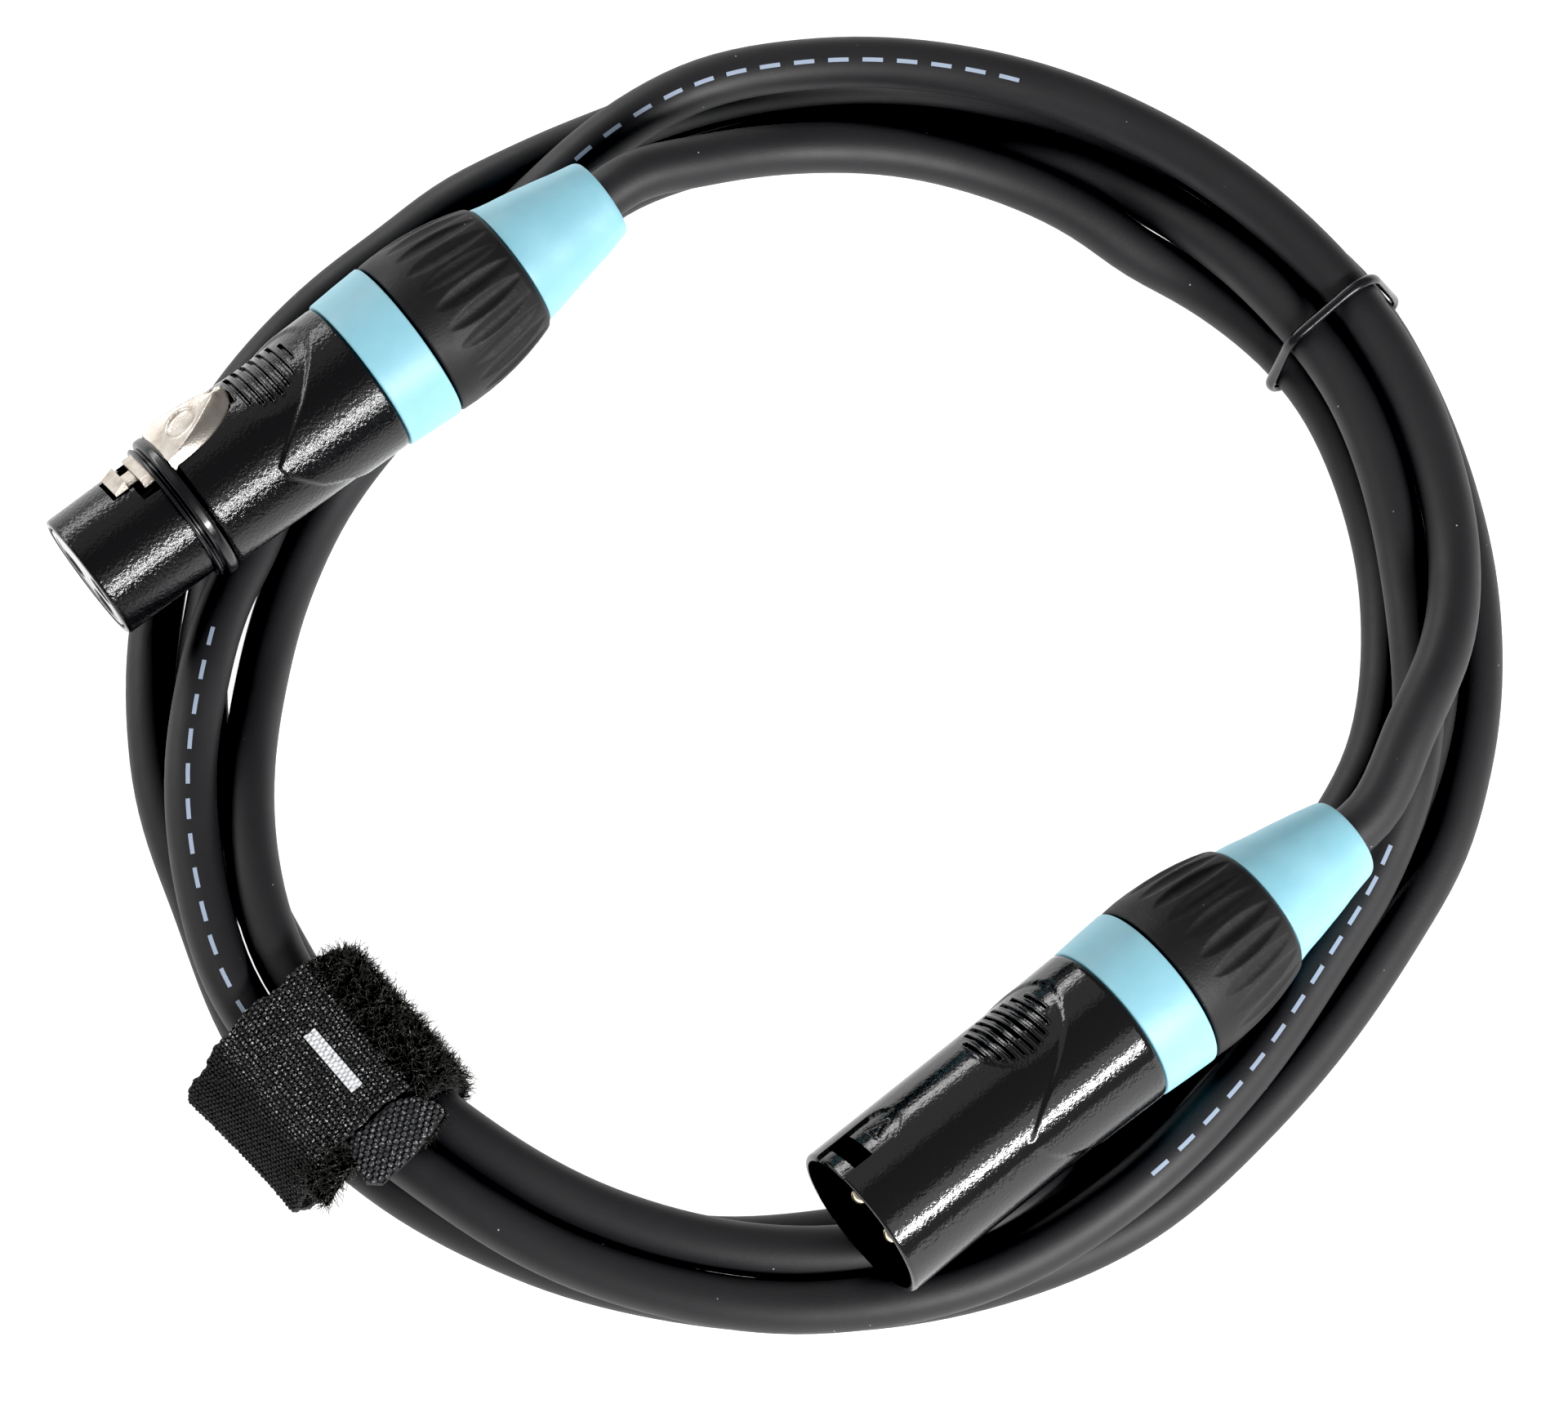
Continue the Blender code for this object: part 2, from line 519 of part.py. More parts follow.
def female_contacts(frame, looks):
    bore_r, wall_r, cup_r = 1.22 * MM, 1.7 * MM, 1.2 * MM
    profile = ((1.8 * MM, bore_r), (15.0 * MM, bore_r), (15.6 * MM, 0.0), (33.0 * MM, 0.0),
               (33.0 * MM, cup_r), (29.0 * MM, cup_r), (29.0 * MM, wall_r), (1.8 * MM, wall_r))
    for number, angle in enumerate(POLE_ANGLES, 1):
        finish(f"female_contact_{number}", turned(profile, 16, pole_offset(angle)), looks["contact"], frame)


def latch(frame, looks):
    """The release lever, its pivot pin and the torsion spring round the pin."""
    pivot_x, pivot_z = LATCH_PIVOT
    outline = [(8.0, 6.3), (12.0, 5.8), (23.6, 4.2)]
    for degrees in range(-135, 60, 30):
        outline.append((26.0 + 1.5 * math.cos(math.radians(degrees)),
                        5.0 + 1.5 * math.sin(math.radians(degrees))))
    outline += [(26.2, 8.6), (25.6, 9.6), (24.6, 10.2), (17.4, 9.7), (16.0, 9.0), (15.3, 7.2),
                (11.9, 7.1), (11.7, 8.6), (9.0, 8.6), (8.0, 7.8)]
    lever = finish("latch_lever", extruded([(x * MM, z * MM) for x, z in outline], 2.2 * MM),
                   looks["nickel"], frame)
    hole = turned(((-4.0 * MM, 0.0), (4.0 * MM, 0.0), (4.0 * MM, 0.8 * MM), (-4.0 * MM, 0.8 * MM)), 16)
    at_pivot = Matrix.Translation((pivot_x, 0.0, pivot_z)) @ Matrix.Rotation(math.radians(90), 4, "Z")
    bmesh.ops.transform(hole, verts=hole.verts, matrix=at_pivot)
    fork = box((23.2 * MM, -1.3 * MM, 2.0 * MM), (29.0 * MM, 1.3 * MM, 7.2 * MM))
    cut(lever, (hole, fork), looks["nickel"])
    pin = turned(((-3.7 * MM, 0.0), (3.7 * MM, 0.0), (3.7 * MM, 0.5 * MM), (-3.7 * MM, 0.5 * MM)), 16)
    bmesh.ops.transform(pin, verts=pin.verts, matrix=at_pivot)
    finish("latch_pin", pin, looks["steel"], frame)
    turns, per_turn, wire_r = 3, 9, 0.17 * MM
    coil_r = 0.5 * MM + CLEAR + wire_r
    points = []
    for k in range(turns * per_turn + 1):
        angle = math.tau * k / per_turn
        across = (k / (turns * per_turn) - 0.5) * 1.8 * MM
        points.append((pivot_x + coil_r * math.cos(angle), across, pivot_z + coil_r * math.sin(angle)))
    finish("latch_spring", swept(points, wire_r, 6), looks["steel"], frame)


def build_female(looks):
    frame = connector_frame("female_frame", FEMALE_FRONT, FEMALE_YAW, FEMALE_PITCH, FEMALE_ROLL)
    female_shell(frame, looks)
    female_insert(frame, looks)
    female_contacts(frame, looks)
    latch(frame, looks)
    seal_r, seal_wire = 8.6 * MM, 0.62 * MM
    profile = [(13.4 * MM + seal_wire * math.cos(math.tau * k / 8),
                seal_r + seal_wire * math.sin(math.tau * k / 8)) for k in range(8)]
    finish("female_oring", turned(profile), looks["rubber"], frame)
    rear_pieces("female", frame, FEMALE_SHELL_END, looks)
    conductors("female", frame, FEMALE_SHELL_END, 33.0 * MM, looks)


# Male connector --------------------------------------------------------------------------
def male_shell(frame, looks):
    end = MALE_SHELL_END
    mouth_bore_r = 8.3 * MM
    profile = (
        (0.0, mouth_bore_r), (30.0 * MM, mouth_bore_r), (30.0 * MM, CORE_BORE_R),
        (end + NECK_END, CORE_BORE_R), (end + NECK_END, NECK_R), (end, NECK_R), (end, 9.7 * MM),
        (end - 0.3 * MM, 9.8 * MM), (0.3 * MM, MOUTH_R), (0.0, MOUTH_R - 0.2 * MM))
    shell = finish("male_shell", turned(profile, 40), looks["shell"], frame)
    window = box((1.2 * MM, -2.4 * MM, 7.0 * MM), (4.4 * MM, 2.4 * MM, 12.0 * MM))
    cut(shell, (window,), looks["shell"])


def male_insert(frame, looks):
    radius = 8.3 * MM - CLEAR
    end = 29.7 * MM
    insert = finish("male_insert", turned(((MALE_FLOOR, 0.0), (end, 0.0), (end, radius),
                                           (MALE_FLOOR, radius))), looks["insert"], frame)
    cutters = []
    for angle in POLE_ANGLES:
        hole = ((10.0 * MM, 0.0), (32.0 * MM, 0.0), (32.0 * MM, PIN_R + CLEAR), (10.0 * MM, PIN_R + CLEAR))
        cutters.append(turned(hole, 16, pole_offset(angle), 0.4))
    cut(insert, cutters, looks["insert"])


def build_male(looks):
    frame = connector_frame("male_frame", MALE_FRONT, MALE_YAW, MALE_PITCH, MALE_ROLL)
    male_shell(frame, looks)
    male_insert(frame, looks)
    profile = ((PIN_RECESS, 0.0), (32.0 * MM, 0.0), (32.0 * MM, PIN_R), (PIN_RECESS + 0.7 * MM, PIN_R),
               (PIN_RECESS + 0.2 * MM, 0.75 * PIN_R))
    for number, angle in enumerate(POLE_ANGLES, 1):
        finish(f"male_pin_{number}", turned(profile, 16, pole_offset(angle)), looks["contact"], frame)
    rear_pieces("male", frame, MALE_SHELL_END, looks)
    conductors("male", frame, MALE_SHELL_END, 32.0 * MM, looks)


# Cable and ties --------------------------------------------------------------------------
def solid_points(route):
    """The points of the swept solid: both straight ends as they are, and even steps between."""
    along = np.concatenate([[0.0], np.cumsum(np.linalg.norm(np.diff(route, axis=0), axis=1))])
    straight = BOOT_END - JACKET_START + STRAIGHT_OUT - 0.5 * MM
    between = along[-1] - 2 * straight
    places = np.linspace(straight, along[-1] - straight, int(between / SOLID_SAMPLE) + 1)
    places = np.concatenate([[0.0], places, [along[-1]]])
    return np.stack([np.interp(places, along, route[:, k]) for k in range(3)], axis=1)


def build_cable(looks):
    route = cable_route()
    points = solid_points(route)
    curve = bpy.data.curves.new("cable", "CURVE")
    curve.dimensions = "3D"
    curve.bevel_depth = SOLID_R
    curve.bevel_resolution = 2
    curve.use_fill_caps = True
    spline = curve.splines.new("POLY")
    spline.points.add(len(points) - 1)
    for spot, place in zip(spline.points, points):
        spot.co = (*place, 1.0)
    curve.materials.append(looks["jacket"])
    bpy.context.scene.collection.objects.link(bpy.data.objects.new("cable", curve))
    return route


def build_strap(look):
    """The strap's loop round the bundle, with the tail that its outer end leaves on top."""
    centre, outward, ahead = tie_axes(STRAP_ANGLE)
    stations = np.array(STRAP_LOOP + STRAP_LOOP[:1]) * MM
    loop = even_curve(stations, STRAP_STEP)[:-1]
    tangent = np.roll(loop, -1, axis=0) - np.roll(loop, 1, axis=0)
    tangent /= np.linalg.norm(tangent, axis=1)[:, None]
    normal = np.stack([tangent[:, 1], -tangent[:, 0]], axis=1)
    shape = bmesh.new()
    belts = []
    for side, grow in ((-1, -1), (1, -1), (1, 1), (-1, 1)):
        belt = []
        for across, height in loop + normal * (grow * STRAP_THICK / 2):
            place = centre + outward * across + ahead * (side * STRAP_WIDTH / 2)
            belt.append(shape.verts.new((place[0], place[1], max(height, 0.0))))
        belts.append(belt)
    for first, second in zip(belts, belts[1:] + belts[:1]):
        for k in range(len(loop)):
            j = (k + 1) % len(loop)
            shape.faces.new((first[k], first[j], second[j], second[k]))
    bmesh.ops.recalc_face_normals(shape, faces=shape.faces)
    strap = finish("hook_loop_strap", shape, look)
    outline = []
    for across, along in STRAP_TAIL:
        place = centre + outward * (across * MM) + ahead * (along * MM)
        outline.append((place[0], place[1]))
    tail = plate(outline, STRAP_TAIL_HEIGHT, STRAP_TAIL_HEIGHT + STRAP_THICK)
    cut(strap, [tail], look, "UNION")


def build_ties(route, looks):
    build_strap(looks["strap"])
    ring = tie_outline(route, RING_ANGLE, RING_WIDTH / 2 + 1.5 * MM, RING_THICK)
    finish("bundle_ring", band(*ring, RING_WIDTH, RING_THICK), looks["rubber"])


def main():
    clear_scene()
    looks = {
        "jacket": material("cable_jacket", (0.022, 0.021, 0.022), 0.5),
        "shell": material("black_shell", (0.012, 0.012, 0.013), 0.28, 0.3),
        "insert": material("insert_plastic", (0.015, 0.015, 0.016), 0.35),
        "nut": material("soft_black_plastic", (0.03, 0.03, 0.032), 0.55),
        "chuck": material("chuck_plastic", (0.6, 0.6, 0.58), 0.5),
        "blue": material("light_blue_plastic", (0.38, 0.72, 0.85), 0.5),
        "rubber": material("black_rubber", (0.01, 0.01, 0.01), 0.25),
        "strap": material("hook_loop_fabric", (0.02, 0.02, 0.022), 0.9),
        "nickel": material("satin_nickel", (0.55, 0.52, 0.47), 0.35, 1.0),
        "steel": material("spring_steel", (0.5, 0.5, 0.5), 0.3, 1.0),
        "contact": material("silvered_contact", (0.8, 0.74, 0.62), 0.25, 1.0),
        "core_1": material("core_bare_sleeve", (0.02, 0.02, 0.02), 0.5),
        "core_2": material("core_red", (0.5, 0.03, 0.02), 0.5),
        "core_3": material("core_white", (0.75, 0.75, 0.72), 0.5),
    }
    build_ties(build_cable(looks), looks)
    build_female(looks)
    build_male(looks)


main()
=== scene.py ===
"""The looks of a coiled 2 m microphone cable with its two connectors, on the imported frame.

Metres, +Z up.  Each connector is built in its own frame: +X runs from its open front to its
rear, and +Z points to its key side.  Lengths inside a connector are written in millimetres.
"""

import math

import bmesh
import bpy
import numpy as np
from mathutils import Matrix, Vector


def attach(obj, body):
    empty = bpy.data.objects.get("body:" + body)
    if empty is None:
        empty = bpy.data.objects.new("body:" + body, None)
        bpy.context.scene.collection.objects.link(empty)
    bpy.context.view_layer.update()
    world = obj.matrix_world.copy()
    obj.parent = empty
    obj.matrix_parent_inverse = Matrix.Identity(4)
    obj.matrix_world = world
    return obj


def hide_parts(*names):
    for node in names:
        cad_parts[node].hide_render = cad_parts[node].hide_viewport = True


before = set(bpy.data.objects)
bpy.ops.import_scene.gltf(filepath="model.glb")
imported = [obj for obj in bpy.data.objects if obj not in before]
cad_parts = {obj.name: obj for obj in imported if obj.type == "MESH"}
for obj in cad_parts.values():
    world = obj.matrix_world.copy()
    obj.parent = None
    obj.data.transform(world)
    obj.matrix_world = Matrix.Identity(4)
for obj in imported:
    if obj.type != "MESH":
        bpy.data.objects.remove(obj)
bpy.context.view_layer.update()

MM = 0.001

# Cable and coil --------------------------------------------------------------------------
CABLE_R = 3.0 * MM
STRAND_GAP = 0.25 * MM          # between strands that lie on each other
CONNECTOR_GAP = 0.3 * MM        # between a strand and a connector's envelope
SPREAD = 0.5                    # how far a strand's move carries along it
SAMPLE = 2.0 * MM               # spacing of the route's points
COIL_CENTRE = (3.0 * MM, 0.5 * MM)
ORIGIN_SHIFT = (0.387 * MM, -1.735 * MM)    # as part.py moves all to the middle of the box
COIL_MIDDLE = (COIL_CENTRE[0] + ORIGIN_SHIFT[0], COIL_CENTRE[1] + ORIGIN_SHIFT[1], 0.0)

# The coil's turns, outwards from the female boot: (degrees round the centre, radius, height) in mm.
TURNS = (
    ((102, 60.9, 19.4), (92, 63.0, 15.4), (80, 65.2, 11.7), (70, 66.4, 9.0), (60, 67.4, 6.9),
     (50, 68.6, 4.3), (30, 70.0, 4.0), (10, 68.2, 3.0), (-10, 65.0, 3.0), (-30, 58.0, 3.0),
     (-45, 55.5, 3.0), (-60, 59.0, 3.0), (-75, 63.0, 3.0), (-90, 64.7, 3.0), (-100, 66.3, 3.0),
     (-120, 68.0, 4.0), (-140, 68.3, 4.8), (-150, 67.7, 4.8), (-160, 68.3, 4.0), (-170, 69.5, 4.2),
     (-180, 70.5, 4.8), (-190, 70.3, 3.4), (-200, 71.0, 3.0), (-220, 69.3, 3.0), (-230, 68.2, 3.0),
     (-240, 70.2, 3.0)),
    ((110, 73.2, 3.0), (100, 74.8, 3.0), (90, 76.2, 3.0), (70, 77.6, 3.0), (50, 79.6, 3.5),
     (30, 79.3, 4.0), (10, 78.0, 3.0), (-10, 74.6, 3.0), (-30, 71.7, 3.0), (-45, 71.2, 3.0),
     (-60, 72.4, 3.0), (-75, 72.4, 3.0), (-90, 72.5, 3.0), (-110, 73.2, 3.0), (-130, 75.3, 4.6),
     (-145, 75.8, 4.8), (-160, 74.2, 4.0), (-175, 75.3, 3.0), (-190, 75.8, 3.0), (-210, 76.0, 3.0),
     (-230, 72.9, 4.5)),
    ((120, 71.4, 8.5), (110, 71.7, 9.2), (100, 73.3, 9.0), (90, 74.6, 9.0), (70, 77.0, 8.7),
     (60, 77.6, 8.3), (50, 77.6, 8.2), (30, 75.0, 7.8), (10, 72.8, 6.6), (-10, 70.0, 5.4),
     (-20, 67.0, 3.2), (-30, 64.3, 3.0), (-45, 61.2, 3.4), (-60, 64.0, 5.0), (-75, 67.3, 8.0),
     (-90, 68.1, 8.6), (-110, 67.6, 9.2), (-130, 67.4, 10.6), (-150, 69.0, 10.6), (-160, 67.3, 9.6),
     (-170, 65.4, 8.0), (-180, 63.4, 5.0), (-190, 62.2, 3.5), (-200, 61.2, 3.0), (-220, 59.6, 3.0),
     (-230, 60.8, 3.0), (-240, 64.0, 3.0)),
    ((110, 67.3, 3.0), (100, 68.6, 3.0), (90, 70.2, 3.0), (70, 71.9, 4.3), (60, 73.2, 5.0),
     (50, 73.0, 8.6), (30, 72.1, 11.4), (10, 69.6, 11.6), (-10, 69.4, 11.4), (-20, 68.3, 9.4),
     (-30, 67.0, 8.8), (-45, 67.8, 8.8), (-60, 70.2, 9.0), (-75, 72.7, 9.0), (-90, 73.7, 9.0),
     (-110, 73.4, 9.4), (-130, 72.5, 11.0), (-145, 74.7, 11.4), (-160, 73.2, 11.0), (-170, 71.4, 11.4),
     (-180, 69.2, 11.2), (-190, 68.1, 8.9), (-200, 67.2, 6.8), (-220, 64.8, 6.8), (-230, 64.2, 8.4),
     (-240, 66.3, 11.5)),
    ((110, 69.3, 14.4), (100, 72.6, 14.8), (90, 74.0, 15.0), (70, 75.7, 15.0), (50, 76.6, 14.8),
     (30, 76.7, 14.8), (10, 74.5, 14.8), (0, 71.5, 17.0), (-8, 68.2, 18.6)),
)

STRAP_ANGLE, STRAP_HALF, STRAP_RUNOUT = -139.2, 9.0, 10.0
RING_ANGLE, RING_HALF, RING_RUNOUT = 35.0, 2.0, 9.0
TIE_GAP = 0.3 * MM
STRAP_WIDTH, STRAP_THICK = 18.4 * MM, 1.3 * MM
# The strap's loop as (across, height) in millimetres; "across" is from the middle of the coil.
STRAP_LOOP = (
    (72.0, 0.6), (76.0, 0.6), (80.0, 0.6), (83.0, 1.5), (84.0, 3.3), (83.3, 5.3), (81.6, 8.6),
    (79.4, 12.1), (77.2, 14.6), (74.2, 15.35), (70.5, 15.3), (66.6, 15.2), (63.9, 14.2), (62.5, 11.6),
    (62.3, 8.0), (62.6, 4.2), (64.0, 1.5), (67.0, 0.6),
)
# The plain bar printed on the strap's upper face, across and along the coil in the strap's frame.
BAR_MIDDLE, BAR_HALF, BAR_LOWEST = (71.2 * MM, 1.5 * MM), (0.8 * MM, 4.2 * MM), 12.0 * MM
RING_WIDTH, RING_THICK = 1.3 * MM, 0.9 * MM

# Plain dashes printed on the cable, between these samples of its route.
PRINT_RUNS = ((754, 777), (834, 858), (893, 922))
PRINT_FACING = (0.0, -0.33, 0.94)
DASH, DASH_GAP = 2.4 * MM, 1.7 * MM
DASH_HALF_TURN = 0.08           # half its width, as an angle round the cable
DASH_PROUD, DASH_SUNK = 0.03 * MM, 0.1 * MM

# Connectors ------------------------------------------------------------------------------
FEMALE_FRONT = Vector((-79.1 * MM, 8.7 * MM, 18.5 * MM))
FEMALE_YAW, FEMALE_PITCH, FEMALE_ROLL = 38.1, 2.8, 37.0
MALE_FRONT = Vector((8.2 * MM, -67.2 * MM, 21.5 * MM))
MALE_YAW, MALE_PITCH, MALE_ROLL = 39.8, -3.2, 40.0
FEMALE_SHELL_END, MALE_SHELL_END = 38.8, 36.0       # mm, as all that follows here
BOOT_END = 35.1                     # behind the shell's end, as the next one
JACKET_START = 3.5
STRAIGHT_OUT, STRAIGHT_IN = 3.0, 12.0       # how far the cable is straight past and inside a boot
ENVELOPE_PAST_BOOT = 2.5
POLES = (90.0, -90.0, 180.0)        # degrees round the axis from the key side
POLE_CIRCLE_R = 3.9


# Frames and the cable's route ------------------------------------------------------------
def connector_axis(yaw, pitch):
    """The way from a connector's front to its rear."""
    yaw, pitch = math.radians(yaw), math.radians(pitch)
    return Vector((math.cos(pitch) * math.cos(yaw), math.cos(pitch) * math.sin(yaw), math.sin(pitch)))


def connector_frame(front, yaw, pitch, roll):
    """A connector's own frame, in the shared one."""
    turn = Matrix.Rotation(math.radians(yaw), 4, "Z") @ Matrix.Rotation(math.radians(-pitch), 4, "Y")
    lean = Matrix.Rotation(math.radians(-roll), 4, "X")
    return Matrix.Translation(front + Vector((*ORIGIN_SHIFT, 0.0))) @ turn @ lean


FEMALE_AXIS = connector_axis(FEMALE_YAW, FEMALE_PITCH)
MALE_AXIS = connector_axis(MALE_YAW, MALE_PITCH)
FEMALE = connector_frame(FEMALE_FRONT, FEMALE_YAW, FEMALE_PITCH, FEMALE_ROLL)
MALE = connector_frame(MALE_FRONT, MALE_YAW, MALE_PITCH, MALE_ROLL)


def distance_along(points):
    """How far along the polyline each of its points is."""
    return np.concatenate([[0.0], np.cumsum(np.linalg.norm(np.diff(points, axis=0), axis=1))])


def sampled(points, along, places):
    """The points of a polyline at these distances along it."""
    return np.stack([np.interp(places, along, column) for column in points.T], axis=1)


def route_stations():
    """The given points: out of the female boot, round the turns, into the male boot."""
    points = []
    for beyond in (-STRAIGHT_IN, -STRAIGHT_IN / 2, 0.0, STRAIGHT_OUT):
        reach = (FEMALE_SHELL_END + BOOT_END + beyond) * MM
        points.append(FEMALE_FRONT + FEMALE_AXIS * reach)
    for turn in TURNS:
        for degrees, radius, height in turn:
            angle = math.radians(degrees)
            points.append(Vector((COIL_CENTRE[0] + radius * MM * math.cos(angle),
                                  COIL_CENTRE[1] + radius * MM * math.sin(angle), height * MM)))
    for beyond in (STRAIGHT_OUT, 0.0, -STRAIGHT_IN / 2, -STRAIGHT_IN):
        reach = (MALE_SHELL_END + BOOT_END + beyond) * MM
        points.append(MALE_FRONT + MALE_AXIS * reach)
    return np.array([tuple(point) for point in points])


def even_curve(points, spacing):
    """A smooth cubic through the points, cut into even steps."""
    along = distance_along(points)
    slope = np.gradient(points, along, axis=0)
    t = np.linspace(0.0, 1.0, 24, endpoint=False)[:, None]
    fine = []
    for k in range(len(points) - 1):
        span = along[k + 1] - along[k]
        fine.append((2 * t**3 - 3 * t**2 + 1) * points[k] + (t**3 - 2 * t**2 + t) * span * slope[k]
                    + (3 * t**2 - 2 * t**3) * points[k + 1] + (t**3 - t**2) * span * slope[k + 1])
    fine.append(points[-1:])
    fine = np.vstack(fine)
    along = distance_along(fine)
    return sampled(fine, along, np.linspace(0.0, along[-1], int(along[-1] / spacing) + 1))


def tie_lift(points):
    """How far the strap and the ring hold the bundle off the ground at these points."""
    angle = np.degrees(np.arctan2(points[:, 1] - COIL_CENTRE[1], points[:, 0] - COIL_CENTRE[0]))
    lift = np.zeros(len(points))
    for place, half, runout, thick in ((STRAP_ANGLE, STRAP_HALF, STRAP_RUNOUT, STRAP_THICK),
                                       (RING_ANGLE, RING_HALF, RING_RUNOUT, RING_THICK)):
        away = np.abs((angle - place + 180.0) % 360.0 - 180.0)
        share = np.clip(1.0 - (away - half) / runout, 0.0, 1.0)
        lift = np.maximum(lift, (thick + TIE_GAP) * share * share * (3 - 2 * share))
    return lift


def connector_envelopes():
    """(front, axis, length, stations, radii) of what the strands must stay clear of."""
    stations = np.array((0.0, 13.0, 38.0, 46.0, 58.0, 71.0, 74.0)) * MM
    female = np.array((7.9, 9.4, 9.7, 10.3, 8.7, 5.8, 4.9)) * MM
    male = np.array((9.4, 9.5, 9.9, 10.3, 7.9, 5.2, 3.3)) * MM
    past_shell = BOOT_END + ENVELOPE_PAST_BOOT
    return (
        (FEMALE_FRONT, FEMALE_AXIS, (FEMALE_SHELL_END + past_shell) * MM, stations, female),
        (MALE_FRONT, MALE_AXIS, (MALE_SHELL_END + past_shell) * MM, stations, male),
    )


def settled(points, rounds=260, hold=0.02, part=0.65, stiffness=0.5):
    """Moves strands apart until none cuts another, the ground or a connector.

    In each round, strands that overlap give way by a part of the overlap, bends are evened out by the
    stiffness, and every point is drawn back a little to where it started.
    """
    count = len(points)
    home = points.copy()
    held = np.zeros(count, bool)
    lead = int((STRAIGHT_IN + STRAIGHT_OUT) * MM / SAMPLE)
    held[:lead] = True
    held[-lead:] = True
    apart = 2 * CABLE_R + STRAND_GAP
    index = np.arange(count)
    neighbours = int(3 * apart / SAMPLE)
    refresh, margin = 12, 3 * MM
    envelopes = connector_envelopes()
    own_cable = (index < 2 * lead, index >= count - 2 * lead)
    for step in range(rounds):
        if step % refresh == 0:
            distance = np.linalg.norm(points[:, None] - points[None], axis=2)
            close = (distance < apart + margin) & (index[None] - index[:, None] > neighbours)
            first, second = np.nonzero(close)
        across = points[second] - points[first]
        gap = np.linalg.norm(across, axis=1)
        overlap = np.clip(apart - gap, 0.0, None)
        move = across / gap[:, None] * (overlap * part)[:, None]
        push = np.zeros_like(points)
        pushes = np.zeros(count)
        np.add.at(push, first, -move)
        np.add.at(push, second, move)
        np.add.at(pushes, first, overlap > 0)
        np.add.at(pushes, second, overlap > 0)
        moved = points + push / np.maximum(pushes, 1)[:, None]
        bow = np.zeros_like(moved)
        bow[1:-1] = (moved[:-2] + moved[2:]) / 2 - moved[1:-1]
        moved[2:-2] += stiffness * (bow[2:-2] - (bow[1:-3] + bow[3:-1]) / 2)
        moved += hold * (home - moved)
        shift = moved - home
        moved[1:-1] += SPREAD * ((shift[:-2] + shift[2:]) / 2 - shift[1:-1])
        for (front, axis, length, stations, radii), own in zip(envelopes, own_cable):
            offset = moved - np.array(front)
            along = offset @ np.array(axis)
            out = offset - along[:, None] * np.array(axis)
            reach = np.linalg.norm(out, axis=1)
            need = np.interp(along, stations, radii) + CABLE_R + CONNECTOR_GAP
            hit = (along > 0) & (along < length) & (reach < need) & ~own
            moved[hit] += out[hit] / reach[hit, None] * (need - reach)[hit, None]
        moved[:, 2] = np.maximum(moved[:, 2], CABLE_R + tie_lift(moved))
        moved[held] = home[held]
        points = moved
    return points


def cable_route():
    """The cable's centreline from the female chuck to the male chuck."""
    free = settled(even_curve(route_stations(), SAMPLE))
    female_start = FEMALE_FRONT + FEMALE_AXIS * ((FEMALE_SHELL_END + JACKET_START) * MM)
    male_start = MALE_FRONT + MALE_AXIS * ((MALE_SHELL_END + JACKET_START) * MM)
    whole = np.vstack([np.array(female_start), free, np.array(male_start)])
    return whole + np.array((*ORIGIN_SHIFT, 0.0))


# Camera ----------------------------------------------------------------------------------
CAMERA_TILT, CAMERA_DISTANCE = math.radians(19.0), 0.66     # off the vertical, and from the origin
CAMERA_LENS, CAMERA_SENSOR = 130.6, 36.0


def added(name, data):
    """A new object with this data, in the scene."""
    made = bpy.data.objects.new(name, data)
    bpy.context.scene.collection.objects.link(made)
    return made


def make_camera():
    """It looks down on the coil from a little in front of it, as the photograph does."""
    tilt = CAMERA_TILT
    data = bpy.data.cameras.new("camera")
    data.sensor_width = CAMERA_SENSOR
    data.lens = CAMERA_LENS
    data.clip_start = 0.01
    camera = added("camera", data)
    camera.location = (ORIGIN_SHIFT[0], ORIGIN_SHIFT[1] - CAMERA_DISTANCE * math.sin(tilt),
                       CAMERA_DISTANCE * math.cos(tilt))
    camera.rotation_euler = (tilt, 0.0, 0.0)
    bpy.context.scene.camera = camera


